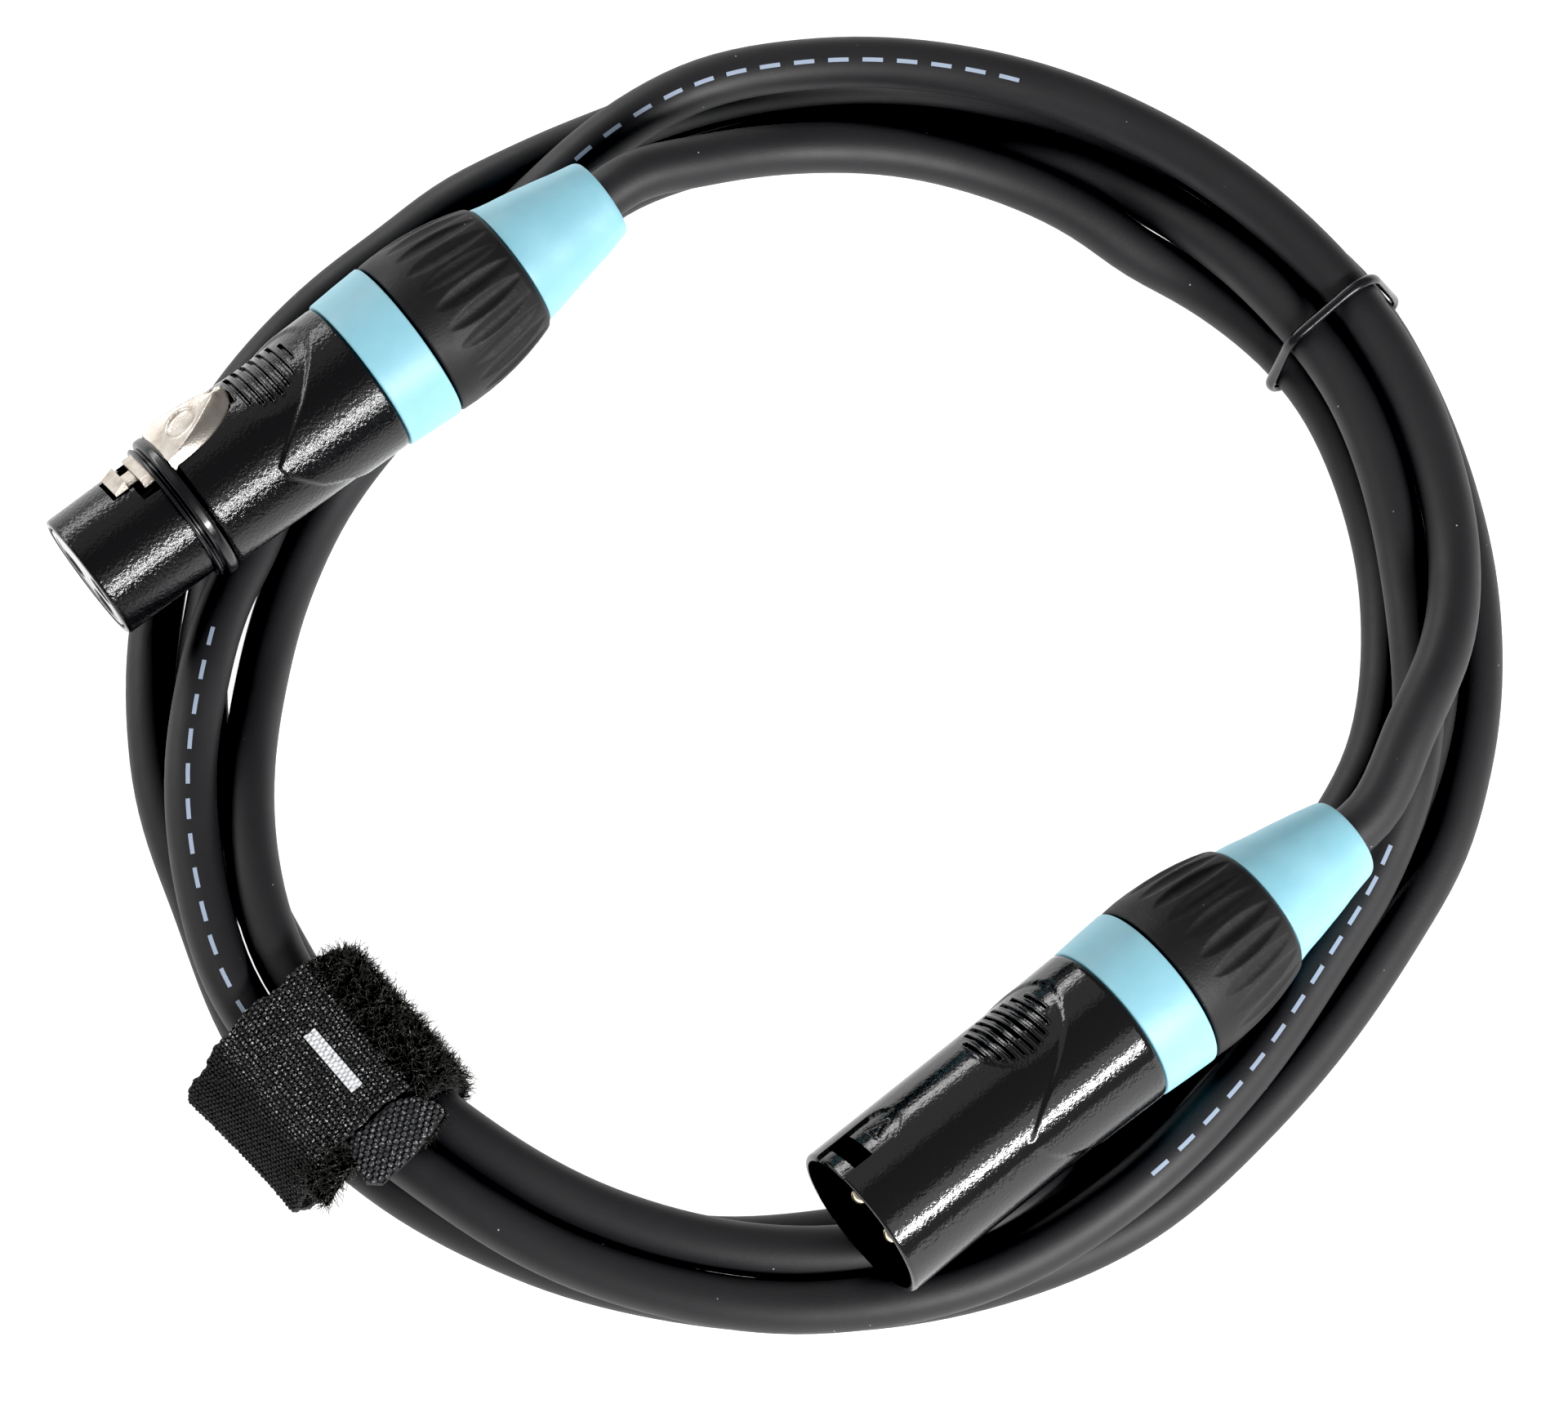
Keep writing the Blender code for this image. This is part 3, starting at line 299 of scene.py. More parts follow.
# Materials -------------------------------------------------------------------------------
class Look:
    """A node material: its shader, and short ways to add texture nodes to it."""

    def __init__(self, name, colour, roughness, metallic=0.0):
        self.material = bpy.data.materials.new(name)
        self.material.use_nodes = True
        self.nodes = self.material.node_tree.nodes
        self.links = self.material.node_tree.links
        self.shader = self.nodes["Principled BSDF"]
        self.set("Base Color", (*colour, 1.0))
        self.set("Roughness", roughness)
        self.set("Metallic", metallic)

    def set(self, socket, value):
        self.shader.inputs[socket].default_value = value

    def link(self, output, socket):
        self.links.new(output, self.shader.inputs[socket])

    def node(self, kind, **settings):
        made = self.nodes.new(kind)
        for key, value in settings.items():
            if key in made.inputs:
                made.inputs[key].default_value = value
            else:
                setattr(made, key, value)
        return made

    def place(self):
        return self.node("ShaderNodeTexCoord").outputs["Object"]

    def axes(self):
        """The outputs X, Y and Z: a point's place in its object."""
        made = self.node("ShaderNodeSeparateXYZ")
        self.links.new(self.place(), made.inputs["Vector"])
        return made.outputs

    def noise(self, scale, detail=4.0, roughness=0.6):
        made = self.node("ShaderNodeTexNoise", Scale=scale, Detail=detail, Roughness=roughness)
        self.links.new(self.place(), made.inputs["Vector"])
        return made.outputs["Fac"]

    def cells(self, scale):
        """How far the nearest cell's point is."""
        made = self.node("ShaderNodeTexVoronoi", Scale=scale, Randomness=1.0)
        self.links.new(self.place(), made.inputs["Vector"])
        return made.outputs["Distance"]

    def ramp(self, value, low, high, first=0.0, last=1.0):
        """From first where the value is low to last where it is high, clamped."""
        made = self.node("ShaderNodeMapRange")
        ends = {"From Min": low, "From Max": high, "To Min": first, "To Max": last}
        for socket, number in ends.items():
            made.inputs[socket].default_value = number
        self.links.new(value, made.inputs["Value"])
        return made.outputs["Result"]

    def math(self, operation, first, second):
        made = self.node("ShaderNodeMath", operation=operation)
        for socket, value in zip(made.inputs, (first, second)):
            if isinstance(value, (int, float)):
                socket.default_value = value
            else:
                self.links.new(value, socket)
        return made.outputs["Value"]

    def near(self, value, middle, half):
        """1 where the value is within half of the middle, 0 elsewhere."""
        made = self.math("COMPARE", value, middle)
        made.node.inputs[2].default_value = half
        return made

    def mix(self, share, first, second):
        """The first colour where the share is 0, the second where it is 1."""
        made = self.node("ShaderNodeMix", data_type="RGBA")
        self.links.new(share, made.inputs["Factor"])
        for socket, value in ((made.inputs[6], first), (made.inputs[7], second)):
            if isinstance(value, tuple):
                socket.default_value = (*value, 1.0)
            else:
                self.links.new(value, socket)
        return made.outputs[2]

    def bump(self, height, distance, strength=1.0, under=None):
        """The normal of a bumpy skin; under is the normal that it lies on."""
        made = self.node("ShaderNodeBump", Distance=distance, Strength=strength)
        self.links.new(height, made.inputs["Height"])
        if under is not None:
            self.links.new(under, made.inputs["Normal"])
        return made.outputs["Normal"]


def specks(look, scale, size, seed_scale):
    """1 at rare small dots, 0 elsewhere."""
    dots = look.ramp(look.cells(scale), size, size * 0.5)
    return look.math("MULTIPLY", dots, look.ramp(look.noise(seed_scale, 1.0), 0.52, 0.6))


def jacket_look():
    """Matte black PVC: a soft sheen, a fine skin and a little dust."""
    black = (0.013, 0.0127, 0.0140)
    look = Look("cable_jacket_look", black, 0.55)
    fine = look.noise(2600.0, 3.0)
    broad = look.noise(90.0, 3.0)
    dust = specks(look, 420.0, 0.05, 260.0)
    look.link(look.mix(dust, black, (0.35, 0.36, 0.38)), "Base Color")
    look.link(look.ramp(broad, 0.3, 0.7, 0.5, 0.6), "Roughness")
    normal = look.bump(fine, 0.00003, 0.6)
    look.link(look.bump(broad, 0.00035, 0.25, normal), "Normal")
    look.set("Specular IOR Level", 0.42)
    return look.material


def shell_look(name, peel, roughness, gloss, inner_radius):
    """Black paint on die-cast zinc, with an orange-peel skin, and a matte bore whose darker colour is
    painted shade.
    """
    black = (0.008, 0.008, 0.0085)
    look = Look(name, black, roughness)
    coarse = look.noise(2400.0, 1.5, 0.5)
    fine = look.noise(6800.0, 2.0)
    dust = specks(look, 500.0, 0.045, 300.0)
    axes = look.axes()
    square = look.math("ADD", look.math("MULTIPLY", axes["Y"], axes["Y"]),
                       look.math("MULTIPLY", axes["Z"], axes["Z"]))
    outside = look.math("GREATER_THAN", square, (inner_radius * MM)**2)
    paint = look.mix(dust, black, (0.3, 0.3, 0.31))
    # Inside the inner radius the colour is darker than the paint: painted shade in the bore.
    look.link(look.mix(outside, (0.004, 0.004, 0.004), paint), "Base Color")
    look.link(look.ramp(outside, 0.0, 1.0, 0.75, roughness), "Roughness")
    normal = look.bump(coarse, peel, 1.0)
    look.link(look.bump(fine, peel * 0.34, 1.0, normal), "Normal")
    look.link(look.ramp(outside, 0.0, 1.0, 0.1, gloss), "Specular IOR Level")
    return look.material


def nut_look():
    """Matte black moulded plastic with a grained, dusty skin."""
    black = (0.012, 0.0112, 0.0118)
    look = Look("soft_black_look", black, 0.5)
    grain = look.noise(3400.0, 4.0)
    dust = specks(look, 650.0, 0.06, 350.0)
    look.link(look.mix(dust, black, (0.32, 0.32, 0.34)), "Base Color")
    look.link(look.ramp(look.noise(240.0), 0.3, 0.7, 0.46, 0.58), "Roughness")
    look.link(look.bump(grain, 0.00006, 0.7), "Normal")
    look.set("Specular IOR Level", 0.27)
    return look.material


def blue_look():
    """Light blue soft plastic, a little mottled and marked from handling."""
    look = Look("light_blue_look", (0.24, 0.49, 0.58), 0.45)
    cloud = look.noise(160.0, 5.0, 0.65)
    colour = look.mix(look.ramp(cloud, 0.35, 0.7), (0.262, 0.512, 0.60), (0.222, 0.472, 0.565))
    marks = specks(look, 330.0, 0.07, 120.0)
    look.link(look.mix(marks, colour, (0.16, 0.42, 0.52)), "Base Color")
    look.set("Subsurface Weight", 0.4)
    look.set("Subsurface Radius", (1.0, 1.0, 1.0))
    look.set("Subsurface Scale", 0.0025)
    normal = look.bump(look.noise(1800.0, 3.0), 0.00002, 0.5)
    look.link(look.bump(cloud, 0.00012, 0.35, normal), "Normal")
    return look.material


def rubber_look():
    """Glossy black rubber."""
    look = Look("seal_rubber_look", (0.008, 0.008, 0.009), 0.22)
    look.link(look.ramp(look.noise(700.0), 0.3, 0.7, 0.18, 0.32), "Roughness")
    look.link(look.bump(look.noise(1500.0, 2.0), 0.00002, 0.5), "Normal")
    return look.material


def nickel_look():
    """Satin nickel plating over a cast surface."""
    look = Look("satin_nickel_look", (0.50, 0.46, 0.42), 0.3, 1.0)
    grain = look.noise(4200.0, 4.0)
    cloud = look.noise(420.0, 3.0)
    patches = look.ramp(cloud, 0.35, 0.7)
    look.link(look.mix(patches, (0.54, 0.50, 0.455), (0.32, 0.28, 0.24)), "Base Color")
    look.link(look.ramp(cloud, 0.3, 0.7, 0.24, 0.42), "Roughness")
    look.link(look.bump(grain, 0.00004, 0.8), "Normal")
    return look.material


def metal_look(name, colour, roughness, scale):
    """Plain bare metal with a cloudy shine."""
    look = Look(name, colour, roughness, 1.0)
    cloud = look.noise(scale)
    look.link(look.ramp(cloud, 0.3, 0.7, roughness * 0.8, roughness * 1.4), "Roughness")
    look.link(look.bump(look.noise(scale * 3.0), 0.00001, 0.6), "Normal")
    return look.material


def plastic_look(name, colour, roughness, grain=0.00003):
    """Plain moulded plastic."""
    look = Look(name, colour, roughness)
    cloud = look.noise(500.0)
    look.link(look.ramp(cloud, 0.3, 0.7, roughness * 0.85, roughness * 1.15), "Roughness")
    look.link(look.bump(look.noise(2400.0), grain, 0.6), "Normal")
    return look.material


def strap_look(name, colour, crown, glint, printed=False):
    """Black nylon, with painted shade between the yarn loops, a lighter painted highlight on their
    crowns, painted glints on them, and a plain printed bar.
    """
    look = Look(name, colour, 0.62)
    # relief sets the painted light: low is painted shade between the loops, high is a painted highlight
    # on their crowns, where spark adds painted glints.
    relief = look.node("ShaderNodeAttribute", attribute_name="relief").outputs["Fac"]
    yarn = look.noise(6500.0, 4.0, 0.7)
    spark = look.ramp(look.noise(4600.0, 2.0, 0.8), 0.575, 0.635)
    spark = look.math("MULTIPLY", spark, look.ramp(relief, 0.35, 0.75))
    shade = look.mix(spark, look.mix(relief, colour, crown), glint)
    if printed:
        axes = look.axes()
        inside = look.math("MULTIPLY", look.near(axes["X"], BAR_MIDDLE[0], BAR_HALF[0]),
                           look.near(axes["Y"], BAR_MIDDLE[1], BAR_HALF[1]))
        inside = look.math("MULTIPLY", inside, look.math("GREATER_THAN", axes["Z"], BAR_LOWEST))
        worn = look.ramp(look.noise(2200.0, 3.0), 0.30, 0.36)
        shade = look.mix(look.math("MULTIPLY", inside, worn), shade, (0.72, 0.73, 0.75))
    look.link(shade, "Base Color")
    look.link(look.ramp(spark, 0.0, 1.0, 0.72, 0.25), "Roughness")
    look.link(look.bump(yarn, 0.00014, 1.0), "Normal")
    look.set("Specular IOR Level", 0.3)
    look.set("Sheen Weight", 0.06)
    look.set("Sheen Roughness", 0.5)
    return look.material


# Mesh helpers ----------------------------------------------------------------------------
SHARP_EDGE = 40.0       # degrees: edges sharper than this aren't smoothed over
CLOTH_EDGE = 75.0


def place_object(name, mesh, look, body, matrix=None, replaces=()):
    """Puts a mesh in the scene on a body, smooth shaded, in place of CAD nodes."""
    mesh.materials.append(look)
    made = added(name, mesh)
    if matrix is not None:
        made.matrix_world = matrix
    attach(made, body)
    if replaces:
        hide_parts(*replaces)
    return made


def mark_relief(mesh, values):
    """Stores how far each point stands out of the cloth, from 0 to 1; the material paints shade where
    it is low and a highlight where it is high.
    """
    layer = mesh.attributes.new("relief", "FLOAT", "POINT")
    layer.data.foreach_set("value", np.ascontiguousarray(values, np.float32).ravel())


def rings_mesh(name, rings, sharp=SHARP_EDGE, closed=True, relief=None):
    """A mesh from rings of equal length; closed joins the last ring to the first."""
    rings = np.asarray(rings)
    rows, columns = rings.shape[:2]
    start = np.arange(rows if closed else rows - 1)[:, None] * columns
    following = (np.arange(1, rows + 1 if closed else rows) % rows)[:, None] * columns
    here = np.arange(columns)[None]
    there = (here + 1) % columns
    faces = np.stack([start + here, start + there, following + there, following + here], axis=-1)
    faces = faces.reshape(-1, 4).tolist()
    if not closed:
        faces.append(list(range(columns))[::-1])
        faces.append([(rows - 1) * columns + k for k in range(columns)])
    mesh = bpy.data.meshes.new(name)
    mesh.from_pydata(rings.reshape(-1, 3).tolist(), [], faces)
    if relief is not None:
        mark_relief(mesh, relief)
    tidy(mesh, sharp)
    return mesh


def tidy(mesh, sharp=SHARP_EDGE):
    """Faces outward, smooth, with edges sharper than this kept."""
    work = bmesh.new()
    work.from_mesh(mesh)
    bmesh.ops.remove_doubles(work, verts=work.verts, dist=1e-7)
    bmesh.ops.recalc_face_normals(work, faces=work.faces)
    work.to_mesh(mesh)
    work.free()
    mesh.shade_smooth()
    mesh.set_sharp_from_angle(angle=math.radians(sharp))


def rounded(profile, steps=4):
    """Rounds the corners of an (along, radius, fillet) outline and returns (along, radius)."""
    result = []
    count = len(profile)
    for k, (x, r, fillet) in enumerate(profile):
        here = np.array((x, r))
        before = np.array(profile[k - 1][:2]) - here
        after = np.array(profile[(k + 1) % count][:2]) - here
        if fillet == 0:
            result.append((x, r))
            continue
        first = here + before / np.linalg.norm(before) * min(fillet, np.linalg.norm(before) * 0.49)
        last = here + after / np.linalg.norm(after) * min(fillet, np.linalg.norm(after) * 0.49)
        for i in range(steps + 1):
            t = i / steps
            result.append(tuple((1 - t)**2 * first + 2 * t * (1 - t) * here + t * t * last))
    return result


def round_axis(x, radius, turn):
    """Points in metres at these stations, radii and angles from the key side, in millimetres."""
    return np.stack([x, -radius * np.sin(turn), radius * np.cos(turn)], axis=-1) * MM


def turned_rings(profile, angles):
    """Rings in metres for an (along, radius) profile in millimetres."""
    profile = np.array(profile)
    x, turn = np.meshgrid(profile[:, 0], angles, indexing="ij")
    return round_axis(x, profile[:, 1:], turn)


def even_angles(count):
    """This many angles round a full turn."""
    return np.arange(count) * math.tau / count


def ramp_up(value, low, high):
    """0 below low, 1 above high, smooth between."""
    t = np.clip((value - low) / (high - low), 0.0, 1.0)
    return t * t * (3 - 2 * t)


def cut(made, *tools):
    """Cuts or joins closed meshes with a piece, and keeps the result as its mesh."""
    for tool, operation in tools:
        helper = added("tool", tool)
        helper.matrix_world = made.matrix_world
        modifier = made.modifiers.new("cut", "BOOLEAN")
        modifier.operation = operation
        modifier.object = helper
        bpy.context.view_layer.update()
        graph = bpy.context.evaluated_depsgraph_get()
        result = bpy.data.meshes.new_from_object(made.evaluated_get(graph))
        made.modifiers.clear()
        made.data = result
        bpy.data.objects.remove(helper)
    made.data.shade_smooth()
    made.data.set_sharp_from_angle(angle=math.radians(SHARP_EDGE))


def oblong(front, back, half):
    """The outline of an oblong that the connector's axis halves."""
    return [(front, -half), (back, -half), (back, half), (front, half)]


def prism(outline, low, high):
    """A closed mesh: an (x, y) outline in millimetres, from height low to high."""
    mesh = bpy.data.meshes.new("prism")
    count = len(outline)
    points = [(x * MM, y * MM, z * MM) for z in (low, high) for x, y in outline]
    faces = [list(range(count)), [count + k for k in range(count)][::-1]]
    for k in range(count):
        j = (k + 1) % count
        faces.append([k, count + k, count + j, j])
    mesh.from_pydata(points, [], faces)
    tidy(mesh)
    return mesh


# Shells ----------------------------------------------------------------------------------
# A scalloped line round each shell, (degrees from the key side, station): the collar is behind it.
FEMALE_LINE = np.array((
    (0, 35.9), (10, 35.6), (19, 34.9), (29, 33.7), (38, 32.3), (47, 30.7), (60, 27.7), (69, 25.6),
    (76, 24.2), (84, 24.4), (100, 26.2), (112, 27.6), (126, 30.4), (145, 33.0), (180, 34.0)))
MALE_LINE = np.array((
    (0, 32.0), (13, 31.5), (24, 30.5), (34, 29.2), (49, 26.3), (62, 22.9), (70, 20.8), (80, 18.7),
    (88, 18.9), (100, 20.2), (110, 21.8), (122, 24.4), (140, 27.6), (180, 29.5)))
SKIN_PER_DEGREE = 0.165     # mm round a shell for each degree
NECK_R, NECK_LENGTH = 7.7, 15.0
THREAD_PITCH, THREAD_DEEP, THREAD_GROOVES = 1.0, 0.25, 13


def key_angles(fine_half=82.0, fine_step=1.2, coarse_step=3.0):
    """Angles round a connector from its key side, close together near it."""
    fine = np.arange(-fine_half, fine_half + 1e-6, fine_step)
    rest = np.linspace(fine_half, 360.0 - fine_half, int((360 - 2 * fine_half) / coarse_step) + 1)
    return np.radians(np.concatenate([fine, rest[1:-1]]))


def from_key(turn):
    """Degrees from the key side, -180 to 180."""
    return (np.degrees(turn) + 180.0) % 360.0 - 180.0


def scallop(x, line, around, wide, narrow):
    """0 on the barrel in front of a scalloped line round the shell, 1 on the collar behind it."""
    around = np.abs(around)
    degrees, stations = line.T
    station = np.interp(around, degrees, stations)
    slope = np.interp(around, degrees, np.gradient(stations, degrees)) / SKIN_PER_DEGREE
    away = (x - station) / np.sqrt(1 + slope * slope)
    width = narrow + (wide - narrow) * np.clip(1 - around / 75.0, 0.0, 1.0)
    return ramp_up(away, -width / 2, width / 2)


def grip_slots(x, across, stations, centre, half_x, half_across):
    """Depth of a field of round-ended slots that fills an ellipse, with a soft lip."""
    depth = np.zeros_like(x)
    for station in stations:
        share = 1 - ((station - centre) / half_x)**2
        half = max(half_across * math.sqrt(max(share, 0.02)) - 0.25, 0.3)
        away = np.hypot(x - station, np.maximum(np.abs(across) - half, 0.0))
        depth += 0.42 * (1 - ramp_up(away, 0.1, 0.27)) - 0.07 * np.exp(-((away - 0.36) / 0.1)**2)
    return depth


def shell_rings(stations, angles, radius_of, inner):
    """Outer rings from a radius function, closed by an inner (along, radius) profile."""
    x, turn = np.meshgrid(stations, angles, indexing="ij")
    outer = round_axis(x, radius_of(x, turn), turn)
    return np.concatenate([outer, turned_rings(inner, angles)], axis=0)


def female_radius(x, turn):
    """Nose, barrel and collar, with a dished field of grip slots on the key side."""
    around = from_key(turn)
    barrel = np.interp(x, (0.0, 0.12, 0.4, 14.7, 14.9, 15.3, 38.8),
                       (7.55, 7.78, 7.9, 7.9, 8.6, 8.9, 9.2))
    collar = np.interp(x, (20.0, 30.0, 38.2, 38.6, 38.8), (9.22, 9.42, 9.55, 9.5, 9.36))
    share = scallop(x, FEMALE_LINE, around, 1.1, 0.35)
    radius = barrel + (collar - barrel) * np.where(x > 20.0, share, 0.0)
    across = 9.2 * np.radians(around)
    radius -= 0.42 * np.clip(1 - ((x - 29.0) / 6.0)**2 - (across / 7.4)**2, 0.0, None)
    return radius - grip_slots(x, across, 24.7 + 1.2 * np.arange(8), 28.9, 4.5, 5.5)


def male_radius(x, turn):
    """Barrel and collar, with the grip slots, two side grooves and the sunk ramp of the latch."""
    around = from_key(turn)
    barrel = np.interp(x, (0.0, 0.1, 0.35, 1.0, 36.0), (9.0, 9.2, 9.34, 9.34, 9.42))
    collar = np.interp(x, (15.0, 30.0, 35.4, 35.8, 36.0), (9.5, 9.66, 9.76, 9.7, 9.56))
    share = scallop(x, MALE_LINE, around, 1.0, 0.35)
    radius = barrel + (collar - barrel) * np.where(x > 14.0, share, 0.0)
    across = 9.4 * np.radians(around)
    radius -= 0.32 * np.clip(1 - ((x - 25.3) / 5.6)**2 - (across / 6.8)**2, 0.0, None)
    radius -= grip_slots(x, across, 20.7 + 1.1 * np.arange(9), 25.1, 4.8, 5.2)
    ramp_half, ramp_end = 2.78, 9.8
    beyond = np.hypot(np.maximum(x - (ramp_end - ramp_half), 0.0), across) - ramp_half
    radius -= 0.34 * (1 - ramp_up(beyond, -0.16, 0.0))
    groove = np.exp(-((np.abs(around) - 90.0) * SKIN_PER_DEGREE / 0.16)**2)
    radius -= 0.13 * groove * ramp_up(x, 1.0, 2.5)
    return radius - 0.2 * triangle_groove(x, across)


def triangle_groove(x, across):
    """A plain engraved triangle in the ramp behind the male latch window."""
    corners = ((6.0, -1.1), (6.0, 1.25), (8.4, 0.1))
    groove = np.zeros_like(x)
    for k, (x0, y0) in enumerate(corners):
        x1, y1 = corners[(k + 1) % 3]
        span = math.hypot(x1 - x0, y1 - y0)
        t = np.clip(((x - x0) * (x1 - x0) + (across - y0) * (y1 - y0)) / span**2, 0.0, 1.0)
        away = np.hypot(x - x0 - t * (x1 - x0), across - y0 - t * (y1 - y0))
        groove = np.maximum(groove, 1 - ramp_up(away, 0.08, 0.26))
    return groove


def neck_profile(end, bore):
    """The rear of a shell: its shoulder, its threaded neck and its bore, outside to inside."""
    profile = [(end, 9.2, 0.1), (end, NECK_R, 0.1)]
    for k in range(THREAD_GROOVES):
        start = end + 1.0 + k * THREAD_PITCH
        profile += [(start, NECK_R, 0.0), (start + 0.35, NECK_R - THREAD_DEEP, 0.0),
                    (start + 0.7, NECK_R, 0.0)]
    back, (bore_end, bore_r) = end + NECK_LENGTH, bore
    return profile + [(back, 7.6, 0.15), (back, 6.5, 0.15), (bore_end, 6.4, 0.0),
                      (bore_end, bore_r, 0.0)]


def female_shell(looks):
    """The shell with its nose, and the window that the lever sits in."""
    stations = np.concatenate([
        (0.0, 0.06, 0.12, 0.2, 0.3, 0.4), np.linspace(0.7, 14.6, 36), np.linspace(14.7, 15.3, 7),
        np.linspace(15.6, 23.9, 36), np.linspace(24.0, 34.2, 146), np.linspace(34.4, 38.2, 22),
        np.linspace(38.3, 38.8, 7)])
    inner = rounded(neck_profile(FEMALE_SHELL_END, (31.0, 6.95)) + [(0.4, 6.95, 0.0), (0.0, 7.2, 0.0)])
    mesh = rings_mesh("female_shell", shell_rings(stations, key_angles(), female_radius, inner))
    made = place_object("female_shell_cast", mesh, looks["female_shell"], "root", FEMALE,
                        ("female_shell",))
    cut(made, (prism(lever_window(), 4.0, 12.0), "DIFFERENCE"))


def male_shell(looks):
    """The shell with the latch window at its rim."""
    stations = np.concatenate([
        (0.0, 0.05, 0.1, 0.2, 0.35), np.linspace(0.5, 10.4, 100), np.linspace(10.7, 19.6, 30),
        np.linspace(19.8, 30.4, 148), np.linspace(30.6, 35.4, 24), np.linspace(35.5, 36.0, 7)])
    inner = rounded(neck_profile(MALE_SHELL_END, (30.0, 8.3)) + [(0.5, 8.3, 0.0), (0.0, 8.6, 0.0)])
    mesh = rings_mesh("male_shell", shell_rings(stations, key_angles(), male_radius, inner))
    made = place_object("male_shell_cast", mesh, looks["male_shell"], "root", MALE,
                        ("male_shell",))
    cut(made, (prism(oblong(1.75, 4.3, 2.6), 6.0, 12.0), "DIFFERENCE"))


# Latch -----------------------------------------------------------------------------------
LEVER_FRONT, LEVER_LENGTH = 14.5, 10.5
PAD_MARK, PAD_MARK_R = 18.6, 2.05       # the round mark on the thumb face


def footprint(x):
    """Half the width of the lever where it meets the shell."""
    t = np.clip((np.asarray(x) - LEVER_FRONT) / LEVER_LENGTH, 0.0, 1.0)
    return 4.4 * np.sqrt(np.clip(1 - t**2.9, 0.0, 1.0))


def plateau(x):
    """Half the width of the lever's thumb face."""
    t = np.clip((np.asarray(x) - LEVER_FRONT) / 9.5, 0.0, 1.0)
    return 4.3 * (1 - t**1.6)


def mirrored(half):
    """A closed outline from its half on one side of the connector's axis."""
    return half + [(x, -y) for x, y in half[::-1]]


def lever_window():
    """The opening in the shell: narrow round the hook, wide under the seal, round the lever."""
    half = [(7.2, 2.25), (9.9, 2.25), (9.9, 4.3), (LEVER_FRONT, 4.45)]
    for t in np.linspace(0.08, 1.0, 14):
        reach = math.sin(t * math.pi / 2)
        half.append((LEVER_FRONT + (LEVER_LENGTH + 0.15) * reach,
                     float(footprint(LEVER_FRONT + LEVER_LENGTH * reach)) + 0.16))
    return mirrored(half)


def thumb_lever(looks):
    """The thumb pad: a ramp with a dished face, a round pad mark and falling sides."""
    rows, columns = 90, 81
    x = 14.6 + 10.3 * np.sin(np.linspace(0.0, 1.0, rows) * math.pi / 2)
    v = np.linspace(-1.0, 1.0, columns)
    grid_x = np.repeat(x[:, None], columns, axis=1)
    half = np.maximum(footprint(x), 0.05)[:, None]
    y = half * np.sin(v * math.pi / 2)[None]
    top = np.interp(x, (LEVER_FRONT, 18.0, 22.0, 24.5, 25.0), (8.75, 9.35, 10.05, 10.4, 10.3))[:, None]
    shell = np.sqrt(np.maximum(9.0**2 - y * y, 1.0)) - 0.5
    edge = plateau(x)[:, None]
    fall = np.clip((np.abs(y) - edge) / np.maximum(half - edge, 0.05), 0.0, 1.0)
    crown = top - 0.25 * np.clip(1 - (y / np.maximum(edge, 0.4))**2, 0.0, 1.0)
    z = crown + (shell - crown) * fall**1.25
    away = np.hypot(grid_x - PAD_MARK, y)
    z += 0.1 * np.exp(-((away - PAD_MARK_R) / 0.16)**2) - 0.12 * (1 - ramp_up(away, 1.5, PAD_MARK_R))
    upper = np.stack([grid_x, y, z], axis=-1)
    lower = upper.copy()
    lower[..., 2] = 6.6
    lower[..., 1] *= 0.92
    points = np.concatenate([upper.reshape(-1, 3), lower.reshape(-1, 3)]) * MM
    faces = []
    base = rows * columns
    for i in range(rows - 1):
        for j in range(columns - 1):
            a = i * columns + j
            faces.append((a, a + 1, a + columns + 1, a + columns))
            faces.append((base + a, base + a + columns, base + a + columns + 1, base + a + 1))
    rim = list(range(columns)) + [i * columns + columns - 1 for i in range(1, rows)]
    rim += [(rows - 1) * columns + j for j in range(columns - 2, -1, -1)]
    rim += [i * columns for i in range(rows - 2, 0, -1)]
    for k, a in enumerate(rim):
        b = rim[(k + 1) % len(rim)]
        faces.append((a, base + a, base + b, b))
    mesh = bpy.data.meshes.new("latch_thumb")
    mesh.from_pydata(points.tolist(), [], faces)
    tidy(mesh, 32.0)
    place_object("latch_thumb_lever", mesh, looks["nickel"], "release_lever", FEMALE,
                 ("latch_lever",))


def latch_hook(looks):
    """The bar in front of the thumb pad, with its bevelled nose and its crosspiece."""
    outline = mirrored([(7.7, -1.95), (9.5, -1.95), (9.5, -0.9), (10.9, -0.9), (10.9, -2.7),
                        (12.3, -2.7), (12.3, -2.4), (15.2, -2.4)])
    arm = added("latch_hook", prism(outline, 6.3, 7.75))
    nose = prism(oblong(7.7, 9.5, 1.95), 6.6, 8.7)
    for vertex in nose.vertices:
        if vertex.co.z > 7.5 * MM and vertex.co.x < 8.0 * MM:
            vertex.co.z -= 0.6 * MM
    crosspiece = prism(oblong(10.9, 12.3, 2.7), 6.6, 8.15)
    cut(arm, (nose, "UNION"), (crosspiece, "UNION"))
    bevel = arm.modifiers.new("soft_edges", "BEVEL")
    bevel.width = 0.14 * MM
    bevel.segments = 3
    arm.data.materials.clear()
    arm.data.materials.append(looks["nickel"])
    arm.matrix_world = FEMALE
    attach(arm, "release_lever")


